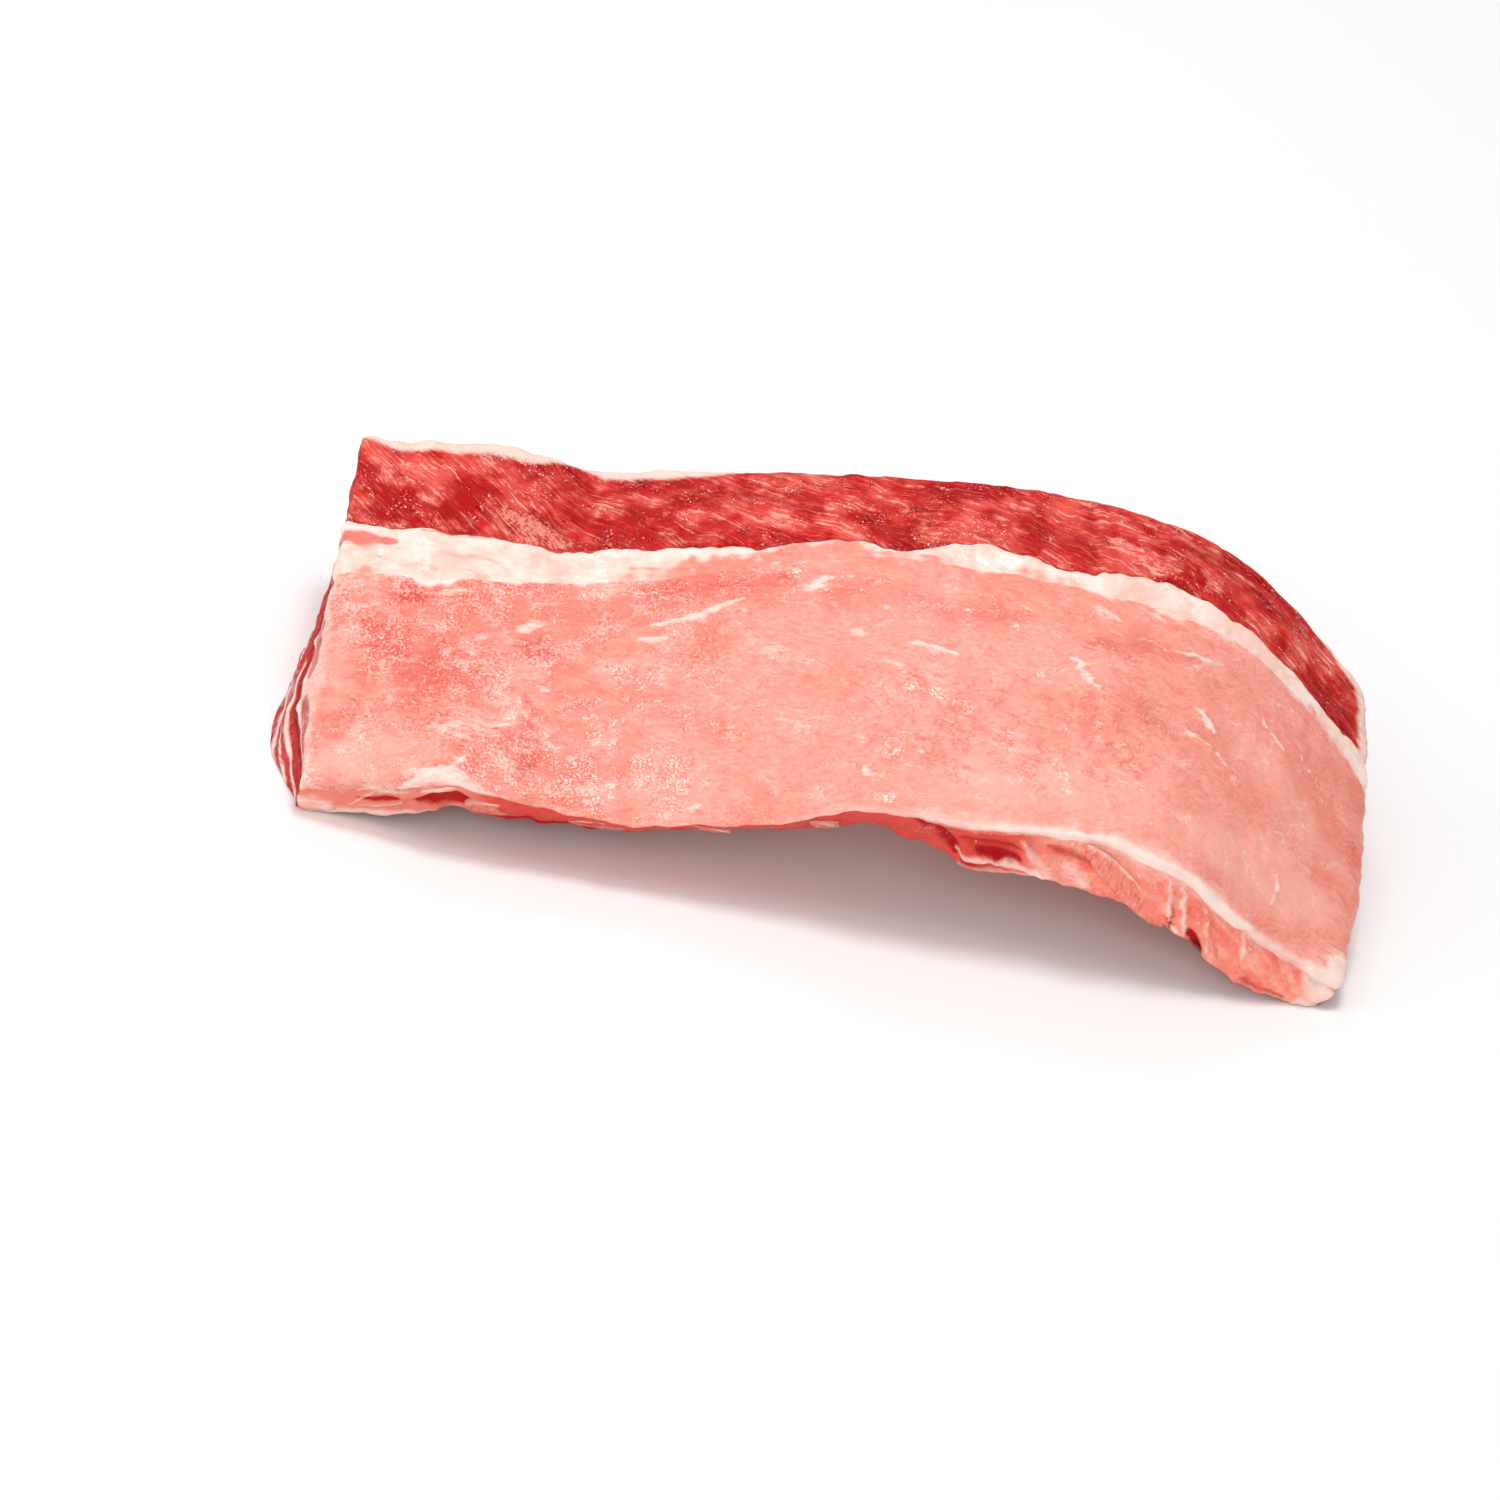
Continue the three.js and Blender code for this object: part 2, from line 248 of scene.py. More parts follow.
def skyline(x, y):
    """Height at y of the straight lines from lip to seam to back."""
    lip, seam, back = guide("lip", x), guide("seam", x), guide("back", x)

    def line(a, b):
        return a[..., 1] + (b - a)[..., 1] * np.clip((y - a[..., 0]) / (b - a)[..., 0], 0, 1)

    return np.where(y < seam[..., 0], line(lip, seam), line(seam, back))


def place(x, point):
    """Section points in space: towards the ends they shift along X with their y and depth."""
    y, z = point[..., 0], point[..., 1]
    depth = np.clip(1 - z / skyline(x, y), 0, 1)
    hump = bell(y - HUMP_Y, np.where(y < HUMP_Y, HUMP_FRONT, HUMP_BACK))
    jag = 1.5 * lumps(np.stack([0 * y, y, z], -1), 8, 2, 21)
    left = LEFT_SKEW * np.maximum(y, 0) - HUMP_OUT * depth * hump
    right = -RIGHT_BOW * (y - RIGHT_BOW_Y) ** 2 - RIGHT_IN * depth
    a = along(x)
    shift = left * (1 - ease(a, 0, 0.2)) + right * ease(a, 0.8, 1)
    shift = shift + jag * (1 - ease(a, 0, 0.06)) - abs(jag) * ease(a, 0.95, 1)
    return np.stack([x + shift, y, np.maximum(z, 0)], -1)


def strokes(x, v, marks, seed=0, ragged=1.0):
    """Strength of ragged brush marks (x0, v0, x1, v1, half width, strength) at points of a surface."""
    spot = np.stack([x * 0.5, v, 0 * x + seed], -1)
    x = x + ragged * (2.6 * lumps(spot, 4, 2, seed) + 1.4 * lumps(spot, 1.6, 1, seed + 1))
    v = v + ragged * (1.2 * lumps(spot, 5, 2, seed + 2) + 0.4 * lumps(spot, 2, 1, seed + 3))
    total = np.zeros_like(x)
    for x0, v0, x1, v1, half, strength in marks:
        run = np.array([x1 - x0, v1 - v0])
        k = np.clip(((x - x0) * run[0] + (v - v0) * run[1]) / (run @ run), 0, 1)
        distance = np.hypot(x - x0 - k * run[0], v - v0 - k * run[1])
        width = half * (1 - 0.5 * (2 * k - 1) ** 2)
        total = np.maximum(total, strength * bell(distance, width))
    return total


# Meshes

def normals_of(points, faces):
    """Vertex normals of a mesh of triangles and quads, given as a list of index arrays."""
    out = np.zeros_like(points)
    for block in faces:
        a, b, c = points[block[:, 0]], points[block[:, 1]], points[block[:, 2]]
        n = np.cross(b - a, c - a) if block.shape[1] == 3 else np.cross(c - a, points[block[:, 3]] - b)
        for k in range(block.shape[1]):
            np.add.at(out, block[:, k], n)
    return out / np.maximum(np.linalg.norm(out, axis=1, keepdims=True), 1e-9)


def relax(points, faces, weight, rounds):
    """Rounds edges off: each point moves by its weight towards the middle of its neighbours."""
    pairs = np.concatenate([np.stack([block[:, k], block[:, (k + 1) % block.shape[1]]], 1)
                            for block in faces for k in range(block.shape[1])])
    count = np.bincount(pairs.ravel(), minlength=len(points)).astype(float)
    for _ in range(rounds):
        total = np.zeros_like(points)
        np.add.at(total, pairs[:, 0], points[pairs[:, 1]])
        np.add.at(total, pairs[:, 1], points[pairs[:, 0]])
        points = points + weight[:, None] * (total / count[:, None] - points)
    return points


def make_piece(name, points, faces, masks, material):
    mesh = bpy.data.meshes.new(name)
    mesh.from_pydata((points * MM).tolist(), [], [face for block in faces for face in block.tolist()])
    for key, values in masks.items():
        wide = values.ndim == 2
        layer = mesh.attributes.new(key, "FLOAT_VECTOR" if wide else "FLOAT", "POINT")
        layer.data.foreach_set("vector" if wide else "value", np.ascontiguousarray(values, np.float32).ravel())
    mesh.polygons.foreach_set("use_smooth", [True] * len(mesh.polygons))
    mesh.update()
    mesh.materials.append(material)
    piece = bpy.data.objects.new(name, mesh)
    bpy.context.collection.objects.link(piece)
    return piece


def sheet_mesh(top, bottom, rows, coarse=4):
    """A closed sheet between two grids of points: fine on top and round its walls, coarse below.
    Returns points, faces, and for each point its grid column, grid row and height from 0 to 1."""
    across, deep = top.shape[0] - 1, top.shape[1] - 1
    ids = np.arange(top.shape[0] * top.shape[1]).reshape(top.shape[:2])
    i, j = np.meshgrid(np.arange(across + 1), np.arange(deep + 1), indexing="ij")
    points, where = [top.reshape(-1, 3)], [np.stack([i, j, 0 * i + 1], -1).reshape(-1, 3).astype(float)]
    count = ids.size
    edge = [(k, 0) for k in range(across)] + [(across, k) for k in range(deep)]
    edge += [(across - k, deep) for k in range(across)] + [(0, deep - k) for k in range(deep)]
    edge = np.array(edge)
    low_edge, high_edge = bottom[edge[:, 0], edge[:, 1]], top[edge[:, 0], edge[:, 1]]
    rings = []
    for row in range(rows):
        r = row / rows
        points.append(low_edge + r * (high_edge - low_edge))
        where.append(np.column_stack([edge, np.full(len(edge), r)]))
        rings.append(np.arange(count, count + len(edge)))
        count += len(edge)
    rings.append(ids[edge[:, 0], edge[:, 1]])
    below = np.full(ids.shape, -1)
    below[edge[:, 0], edge[:, 1]] = rings[0]
    inner = np.array([(a, b) for a in range(coarse, across, coarse) for b in range(coarse, deep, coarse)])
    below[inner[:, 0], inner[:, 1]] = np.arange(count, count + len(inner))
    points.append(bottom[inner[:, 0], inner[:, 1]])
    where.append(np.column_stack([inner, np.zeros(len(inner))]))
    quads = [np.stack([ids[:-1, :-1], ids[1:, :-1], ids[1:, 1:], ids[:-1, 1:]], -1).reshape(-1, 4)]
    for low, high in zip(rings[:-1], rings[1:]):
        quads.append(np.stack([low, np.roll(low, -1), np.roll(high, -1), high], -1))
    fans = []
    for a in range(0, across, coarse):
        for b in range(0, deep, coarse):
            a1, b1 = a + coarse, b + coarse
            loop = [(k, b) for k in range(a, a1)] + [(a1, k) for k in range(b, b1)]
            loop += [(a1 - k, b1) for k in range(coarse)] + [(a, b1 - k) for k in range(coarse)]
            ring = [below[p] for p in loop if below[p] >= 0]
            hub = below[a1 if a == 0 else a, b1 if b == 0 else b]
            turn = ring.index(hub)
            ring = ring[turn:] + ring[:turn]
            fans += [(hub, ring[k + 1], ring[k]) for k in range(1, len(ring) - 1)]
    return np.concatenate(points), [np.concatenate(quads), np.array(fans)], np.concatenate(where)


# Node trees: socket arithmetic and one way to add any other node

class Tone:
    """A socket of a node tree. Arithmetic on values adds Math nodes."""

    def __init__(self, owner, socket):
        self.owner, self.socket = owner, socket

    def __add__(self, other): return self.owner.math("ADD", self, other)
    def __radd__(self, other): return self.owner.math("ADD", other, self)
    def __sub__(self, other): return self.owner.math("SUBTRACT", self, other)
    def __rsub__(self, other): return self.owner.math("SUBTRACT", other, self)
    def __mul__(self, other): return self.owner.math("MULTIPLY", self, other)
    def __rmul__(self, other): return self.owner.math("MULTIPLY", other, self)
    def __truediv__(self, other): return self.owner.math("DIVIDE", self, other)
    def __rtruediv__(self, other): return self.owner.math("DIVIDE", other, self)
    def above(self, other): return self.owner.math("MAXIMUM", self, other)
    def below(self, other): return self.owner.math("MINIMUM", self, other)

    def step(self, low, high):
        """0 below low, 1 above high, smooth between."""
        return self.owner.node("ShaderNodeMapRange", {"interpolation_type": "SMOOTHSTEP"},
                               {"Value": self, "From Min": low, "From Max": high})

    def scaled(self, x, y, z): return self.owner.vector("MULTIPLY", {0: self, 1: (x, y, z)})
    def times(self, factor): return self.owner.vector("SCALE", {0: self, "Scale": factor})
    def moved(self, other): return self.owner.vector("ADD", {0: self, 1: other})


class Nodes:
    """Adds nodes to a tree."""

    def __init__(self, tree):
        self.tree = tree

    def node(self, kind, settings, sockets, output=0):
        made = self.tree.nodes.new(kind)
        for key, value in settings.items():
            setattr(made, key, value)
        for key, value in sockets.items():
            self.put(made.inputs[key], value)
        return Tone(self, made.outputs[output])

    def put(self, socket, value):
        if isinstance(value, Tone):
            self.tree.links.new(value.socket, socket)
        elif socket.type == "RGBA":
            socket.default_value = (*value, 1.0)
        else:
            socket.default_value = value

    def math(self, operation, *values):
        return self.node("ShaderNodeMath", {"operation": operation}, dict(enumerate(values)))

    def vector(self, operation, sockets):
        return self.node("ShaderNodeVectorMath", {"operation": operation}, sockets)


class Finish(Nodes):
    """A material and its one shader."""

    def __init__(self, name):
        self.material = bpy.data.materials.new(name)
        self.material.use_nodes = True
        super().__init__(self.material.node_tree)
        self.shader = next(n for n in self.tree.nodes if n.type == "BSDF_PRINCIPLED")

    def shade(self, **sockets):
        for key, value in sockets.items():
            self.put(self.shader.inputs[key.replace("_", " ")], value)
        return self.material

    def mask(self, name, output="Fac"):
        return self.node("ShaderNodeAttribute", {"attribute_name": name}, {}, output)

    def place(self):
        """Object coordinates in millimetres."""
        return self.node("ShaderNodeTexCoord", {}, {}, "Object").times(1 / MM)

    def noise(self, coords, size, detail=3.0, rough=0.55, twist=0.0):
        return self.node("ShaderNodeTexNoise", {}, {"Vector": coords, "Scale": 1 / size, "Detail": detail,
                                                    "Roughness": rough, "Distortion": twist})

    def drift(self, coords, scale, reach):
        """A vector that wanders from place to place."""
        sockets = {"Vector": coords, "Scale": scale, "Detail": 3.0}
        return self.node("ShaderNodeTexNoise", {}, sockets, "Color").times(reach)

    def contour(self, coords, size, inner, outer):
        """Thin wandering lines: 1 along the middle level of a noise."""
        return 1 - self.math("ABSOLUTE", self.noise(coords, size, 5, 0.62) - 0.5).step(inner, outer)

    def blend(self, share, a, b):
        """Colour a where share is 0 and b where it is 1."""
        return self.node("ShaderNodeMix", {"data_type": "RGBA"}, {0: share, 6: a, 7: b}, 2)

    def coats(self, colour, *coats):
        """A colour under coats, each with its share and its colour."""
        for share, coat in coats:
            colour = self.blend(share, colour, coat)
        return colour

    def bump(self, height, distance):
        return self.node("ShaderNodeBump", {}, {"Height": height, "Distance": distance * MM})


def srgb(red, green, blue):
    """A colour given in 0 to 255 as linear light."""
    return tuple((v / 255 / 12.92) if v < 11 else ((v / 255 + 0.055) / 1.055) ** 2.4 for v in (red, green, blue))


PINK, ROSE, BLUSH, FILM_SHEEN_VEIL = srgb(236, 132, 114), srgb(244, 151, 134), srgb(218, 78, 64), srgb(253, 208, 195)
PEACH, VEIN_SHEEN, VEIN_RED = srgb(249, 178, 160), srgb(252, 196, 181), srgb(218, 92, 76)
TONGUE_DARK, TONGUE_LIGHT = srgb(172, 34, 32), srgb(216, 92, 80)
FAT, CREAM, FAT_SHADE, FAT_BRIGHT = srgb(250, 224, 213), srgb(247, 203, 188), srgb(252, 220, 208), srgb(252, 231, 220)
FAT_WARM, FAT_THREAD = srgb(244, 184, 168), srgb(243, 188, 172)
FAT_STREAK, FAT_RED = srgb(222, 106, 88), srgb(196, 44, 40)
DEEP_RED, RED, CORAL, RECESS_SHADE_RED = srgb(142, 1, 7), srgb(196, 24, 25), srgb(226, 70, 58), srgb(178, 7, 13)
STRAND_HIGHLIGHT, LONG_STRAND, STREAK = srgb(243, 118, 103), srgb(238, 108, 94), srgb(250, 178, 162)
# The glint colour here is for painted glints on the meat
FILM, MARBLE, PAINTED_GLINT, SINEW = srgb(240, 150, 134), srgb(246, 156, 140), srgb(255, 214, 202), srgb(253, 216, 203)
END_DARK, END_LIGHT = srgb(172, 28, 28), srgb(208, 74, 64)
FLESH, PALE_FLESH = srgb(245, 106, 86), srgb(254, 172, 152)
SHADED_RAW_FLESH, FLESH_SPECK = srgb(216, 56, 48), srgb(214, 64, 54)
GAP_DARK, GAP_LIGHT, RIB_SKIN = srgb(186, 58, 52), srgb(222, 112, 98), srgb(232, 158, 144)
RIB_DARK, RIB_LIGHT = srgb(236, 172, 156), srgb(247, 204, 190)
BONE_DARK, BONE_LIGHT, MARROW = srgb(246, 176, 158), srgb(250, 204, 188), srgb(240, 122, 102)
SAW_DARK, SAW_LIGHT = srgb(218, 66, 54), srgb(250, 190, 172)


def pale_pork():
    f = Finish("pale_pork")
    p = f.place()
    bent = p.moved(f.drift(p, 0.06, 12))
    slant = f.node("ShaderNodeMapping", {}, {"Vector": bent, "Rotation": (0, 0, -0.3), "Scale": (0.3, 1, 1)})
    broad = f.noise(bent, 26, 3)
    patch = f.noise(bent.moved((40, 7, 3)), 9, 7, 0.68)
    mottle = f.noise(slant, 2.2, 5, 0.68)
    grain = f.noise(slant.moved((3, 8, 30)), 0.8, 3, 0.6)
    cell = f.noise(p.moved((7, 3, 1)), 0.9, 2, 0.6)
    fleck = f.noise(slant.moved((9, 80, 2)), 3.2, 7, 0.7, 0.8)
    ripple, pebble = f.noise(slant.moved((2, 5, 1)), 1.2, 0), f.noise(p.moved((4, 9, 1)), 0.8, 0)
    left, vein, peach, red = (f.mask(name) for name in ("left", "vein", "peach", "blush"))
    damp = f.noise(p.moved((1, 44, 9)), 10, 6, 0.72)
    wet = (damp + (left - 0.5) * 0.12 + red * 0.1 - peach * 0.08).step(0.47, 0.56)
    blush = (red * 1.1 + (patch - 0.5) * 1.3 + (mottle - 0.5) * 1.1 + (left - 0.5) * 0.25).step(0.05, 1.05)
    film = (patch * 0.6 + fleck * 0.3 + broad * 0.3).step(0.53, 0.73) * (0.3 + left * 0.7)
    thread = f.contour(slant.moved((50, 20, 6)), 7, 0.004, 0.016) * patch.step(0.5, 0.64)
    thick, thin = f.contour(bent.moved((5, 60, 9)), 9, 0.004, 0.026), f.contour(bent.moved((80, 6, 2)), 6, 0.004, 0.028)
    lines = thick.above(thin) * vein * f.noise(p.moved((5, 3, 8)), 7, 3).step(0.44, 0.58)
    # White flecks of fat, partly painted highlights
    smear = f.mask("smear") * 1.15
    white = (smear + (fleck - 0.5) * 1.8 + (mottle - 0.5) * 1.2 + (grain - 0.5) * 0.8).step(0.25, 1.15)
    flesh = (f.mask("flesh") + (fleck - 0.5) * 0.8).step(0.25, 0.8)
    rim = (f.mask("rim") * (0.8 + patch * 0.4) + (fleck - 0.5) * 0.8).step(0.1, 0.95)
    to_fat = (f.mask("to_fat") + (fleck - 0.5) * 1.1 + (mottle - 0.5) * 0.7).step(0.15, 0.85)
    tongue = (f.mask("tongue") * 1.1 + (fleck - 0.5) * 0.9 + (cell - 0.5) * 0.4).step(0.3, 0.75)
    colour = f.coats(
        f.blend((broad + (0.5 - left) * 0.16).step(0.36, 0.62), PINK, ROSE),
        (blush, BLUSH),
        # A pale membrane film, with painted sheen added where the cells are wet
        (film * (0.45 + cell.step(0.4, 0.6) * wet * 0.45), FILM_SHEEN_VEIL),
        # Painted sheen: a paler veil over the veined middle and right of the cap
        (vein * (0.2 + broad * 0.5) * 0.35, VEIN_SHEEN),
        ((1 - cell.step(0.3, 0.5)) * (0.08 + wet * left * 0.45), BLUSH),
        ((1 - mottle.step(0.3, 0.5)) * 0.3, BLUSH),
        ((1 - grain.step(0.3, 0.5)) * 0.3, BLUSH),
        (grain.step(0.56, 0.72) * 0.4, CREAM),
        # Peach patches, with painted light on the drooping right end
        ((peach + (patch - 0.5) * 0.6).step(0.1, 0.9) * 0.65, PEACH),
        (thread * 0.55, FAT_SHADE),
        (lines * 0.55, VEIN_RED),
        (white * 0.9, FAT_SHADE),
        (flesh, f.blend(patch.step(0.4, 0.65), FLESH, PALE_FLESH)),
        (rim * 0.95, FAT),
        (to_fat, FAT),
        (tongue * 0.9, f.blend(fleck.step(0.4, 0.6), TONGUE_DARK, TONGUE_LIGHT)),
        # Painted glints: pale specks in the wet clusters, highlights put into the colour
        (pebble.step(0.64, 0.72) * wet * 0.36, FAT),
    )
    height = f.noise(p, 5, 1) * 0.8 + ripple * 0.16 + pebble * (0.04 + wet * (0.15 + left * 0.3)) + white * 0.25
    return f.shade(Base_Color=colour, Roughness=0.58 - wet * 0.4, Normal=f.bump(height, 0.5), Subsurface_Weight=0.15,
                   Subsurface_Radius=(1.0, 0.35, 0.25), Subsurface_Scale=0.002, Specular_IOR_Level=0.5)


def white_fat():
    f = Finish("white_fat")
    p = f.place()
    broad, patch = f.noise(p, 12, 4), f.noise(p.moved((3, 50, 8)), 5.5, 6, 0.62)
    thread = f.noise(p.scaled(0.25, 1, 1), 1.6, 4, 0.6)
    rosy = (f.mask("rosy") + (patch - 0.5) * 1.0 + (thread - 0.5) * 0.9).step(0.15, 0.85)
    pink = (f.mask("streak") * 1.2 + (patch - 0.5) * 0.8 + (thread - 0.5) * 0.6).step(0.2, 0.9)
    red = (f.mask("film") * 1.2 + (thread - 0.5) * 1.2 + (patch - 0.5) * 0.6).step(0.35, 0.8)
    wet = f.noise(p.moved((8, 4, 29)), 7, 4, 0.6).step(0.48, 0.58)
    colour = f.coats(
        f.blend(broad.step(0.4, 0.64), FAT, CREAM),
        (patch.step(0.5, 0.72) * 0.5, FAT_BRIGHT),
        ((1 - patch.step(0.3, 0.54)) * 0.65, FAT_WARM),
        ((1 - thread.step(0.3, 0.5)) * 0.35, FAT_THREAD),
        (rosy, f.blend((thread * 0.5 + broad * 0.5).step(0.36, 0.62), PINK, ROSE)),
        (pink * 0.9, FAT_STREAK),
        (red, FAT_RED),
    )
    fine = f.noise(p.scaled(0.35, 1, 1), 1.5, 0) * 0.3 + f.noise(p, 0.9, 0) * wet * 0.25
    height = f.noise(p.moved((1, 7, 3)), 5, 1) + fine
    return f.shade(Base_Color=colour, Roughness=0.5 - wet * 0.2, Normal=f.bump(height, 0.4), Subsurface_Weight=0.2,
                   Subsurface_Radius=(1.0, 0.55, 0.4), Subsurface_Scale=0.003, Specular_IOR_Level=0.5)


def red_muscle():
    f = Finish("red_muscle")
    p, fibre = f.place(), f.mask("fibre", "Vector")
    bent = fibre.moved(f.drift(p, 0.07, 6))
    bundle = f.noise(bent.scaled(0.16, 1, 1), 3.8, 4, 0.6)
    strand = f.noise(bent.scaled(0.08, 1, 1).moved((7, 0, 0)), 1.0, 4, 0.65)
    thread = f.noise(bent.scaled(0.07, 1, 1).moved((3, 40, 0)), 1.3, 4, 0.6)
    line = f.noise(bent.scaled(0.03, 1, 1).moved((9, 15, 0)), 0.8, 2, 0.5)
    cord = f.noise(bent.scaled(0.12, 1, 1).moved((5, 2, 0)), 1.5, 1, 0.4)
    patch = f.noise(p.moved((11, 5, 0)), 6, 6, 0.66)
    broad = f.noise(p.moved((60, 5, 0)), 16, 3)
    speck, pebble = f.noise(p, 0.9, 3, 0.7), f.noise(p, 0.8, 0)
    wet = f.noise(p.moved((21, 4, 9)), 9, 6, 0.72).step(0.5, 0.58)
    marble = f.mask("marble") * 1.1 + (speck - 0.5) * 2.2 + (strand - 0.5) * 1.4 + (patch - 0.5) * 0.8
    raw_end = f.blend((patch * 0.6 + speck * 0.4).step(0.4, 0.62), END_DARK, END_LIGHT)
    muscle = f.coats(
        f.blend((patch * 0.5 + broad * 0.6).step(0.46, 0.66), RED, CORAL),
        ((1 - (bundle * 0.6 + broad * 0.5).step(0.4, 0.6)) * 0.65, DEEP_RED),
        ((1 - strand.step(0.34, 0.5)) * (0.25 + bundle * 0.6), DEEP_RED),
        # Lighter fibre strands, with painted highlights on their ridges
        (strand.step(0.53, 0.66) * (0.05 + patch.step(0.44, 0.64) * 0.6), STRAND_HIGHLIGHT),
        (line.step(0.58, 0.68) * (0.2 + patch * 0.6), LONG_STRAND),
        ((1 - line.step(0.32, 0.42)) * 0.4, DEEP_RED),
        # Painted shade: darker red in the hollows and in the pit along the fat's edge
        ((f.mask("hollow") * 1.2 + (patch - 0.5) * 0.8).step(0.2, 0.8) * 0.92, RECESS_SHADE_RED),
        ((thread * 0.7 + patch * 0.4).step(0.58, 0.67) * broad.step(0.42, 0.56) * 0.7, STREAK),
        ((broad * 0.6 + patch * 0.5).step(0.5, 0.68) * 0.12, FILM),
        (marble.step(0.4, 1.0) * 0.7, MARBLE),
        (f.mask("end"), raw_end),
    )
    # Painted shade: darker red in the crevices of the sawn face
    dark = (f.mask("crevice") * 1.1 + (speck - 0.5) * 0.3 + (bundle - 0.5) * 0.5).step(0.1, 0.8)
    sawn = f.coats(
        f.blend((patch * 0.6 + bundle * 0.5).step(0.36, 0.72), FLESH, PALE_FLESH),
        ((1 - speck.step(0.3, 0.5)) * 0.2, FLESH_SPECK),
        # Deeper red across the middle of the sawn face: the meat's red, painted darker as shade so the strip reads as
        # underside
        ((f.mask("raw_shade") + (patch - 0.5) * 0.9).step(0.2, 1.0) * 0.85, SHADED_RAW_FLESH),
        ((f.mask("rosy") + (patch - 0.5) * 0.4).step(0.2, 0.8), PINK),
        (dark * 0.97, RECESS_SHADE_RED),
    )
    rib = f.blend(patch.step(0.35, 0.65), RIB_DARK, RIB_LIGHT)
    ribbed = f.coats(
        f.blend((strand * 0.6 + patch * 0.5).step(0.42, 0.7), GAP_DARK, GAP_LIGHT),
        ((f.mask("rib") + (patch - 0.5) * 0.35).step(0.4, 0.9) * 0.8, rib),
        (broad.step(0.42, 0.6) * (0.2 + patch * 0.4), RIB_SKIN),
    )
    pale = f.mask("pale") * 1.15 + (patch - 0.5) * 0.7 + (strand - 0.5) * 0.6 + (speck - 0.5) * 0.3
    colour = f.coats(
        muscle,
        (f.mask("cut"), sawn),
        (f.mask("bone_side"), ribbed),
        (pale.step(0.2, 1.05) * 0.92, SINEW),
        # Painted glints: pale specks in the wet clusters, highlights put into the colour
        (pebble.step(0.67, 0.74) * wet * speck.step(0.42, 0.6) * 0.85, PAINTED_GLINT),
    )
    height = f.noise(bent.scaled(0.2, 1, 1), 4, 1) + cord * 0.5 + pebble * (0.04 + wet * 0.5)
    return f.shade(Base_Color=colour, Roughness=0.8 - wet * 0.65, Normal=f.bump(height, 0.5), Subsurface_Weight=0.08,
                   Subsurface_Radius=(1.0, 0.25, 0.18), Subsurface_Scale=0.002, Specular_IOR_Level=0.25)


def raw_bone():
    f = Finish("bone")
    p = f.place()
    patch, pores = f.noise(p, 2.4, 4, 0.6), f.noise(p, 0.9, 3, 0.6)
    saw = f.noise(p.scaled(1, 0.3, 0.3), 0.8, 3, 0.6)
    upper = (f.mask("upper") + (patch - 0.5) * 0.8).step(-0.3, 0.5)
    shell = (f.mask("rim") + (patch - 0.5) * 0.4).step(0.72, 0.94) * upper
    marrow = (1 - shell) * f.mask("sawn")
    colour = f.coats(
        f.blend(patch.step(0.35, 0.65), BONE_DARK, BONE_LIGHT),
        (marrow * 0.85, MARROW),
        (marrow * (1 - saw.step(0.36, 0.5)) * 0.65, SAW_DARK),
        (marrow * saw.step(0.56, 0.7) * 0.6, SAW_LIGHT),
    )
    return f.shade(Base_Color=colour, Roughness=0.5 - pores.step(0.45, 0.6) * 0.15,
                   Normal=f.bump(saw + patch * 0.8 + pores * 0.3, 0.2), Subsurface_Weight=0.08,
                   Subsurface_Radius=(1.0, 0.5, 0.35), Subsurface_Scale=0.002)


PORK, FAT_FINISH, MUSCLE, BONE = pale_pork(), white_fat(), red_muscle(), raw_bone()


# Pale cap. Its marks are in x and distance from the lip

# White smears on the cap: fat flecks, partly painted highlights
SMEARS = [
    (-89, 60, -84, 62, 3.5, 0.8), (-69, 60, -66, 62, 2.5, 0.6), (-54, 63, -30, 69, 1.6, 0.9),
    (-58, 58, -50, 58, 1.2, 0.9), (-25, 50, -19, 50, 3, 0.6), (-14, 70, -9, 73, 3, 0.8),
    (-25, 80, -21, 82, 3, 0.7), (-110, 74, -104, 75, 2.5, 0.9), (-100, 45, -94, 44, 2, 0.6),
    (-82, 40, -78, 39, 1.2, 0.7), (-106, 19, -90, 25, 8, 0.55), (-113, 2, -100, 4, 4, 1),
    (-104, 3, -100, 10, 3, 0.9), (-42, 5, -36, 5, 1.2, 0.8), (-64, 8, -58, 11, 2.2, 0.6),
    (60, 49, 64, 46, 1.5, 0.9), (58, 54, 61, 49, 1.5, 0.9), (94, 52, 97, 47, 1.5, 0.9),
    (90, 43, 95, 42, 1.3, 0.8), (14, 52, 24, 50, 1.4, 0.8), (7, 44, 12, 43, 1.6, 0.6),
    (-4, 55, 2, 54, 1.4, 0.6), (64, 74, 70, 71, 1.8, 0.8), (76, 78, 83, 76, 1.3, 0.6),
    (84, 66, 100, 70, 0.9, 0.8), (112, 62, 121, 57, 0.9, 0.8), (97, 42, 106, 38, 0.9, 0.8),
    (126, 62, 131, 57, 0.9, 0.6), (121, 20, 122, 11, 1.3, 0.8), (0, 22, 4, 18, 1.2, 0.7),
    (2, 13, 8, 10, 1.2, 0.8), (144, 4, 149, 9, 4.5, 0.9), (-130, -7, -118, -2, 1.2, 0.7),
    (-128, -8, -112, -5, 1.2, 0.7), (-118, -2, -104, 1, 1.4, 0.8),
]
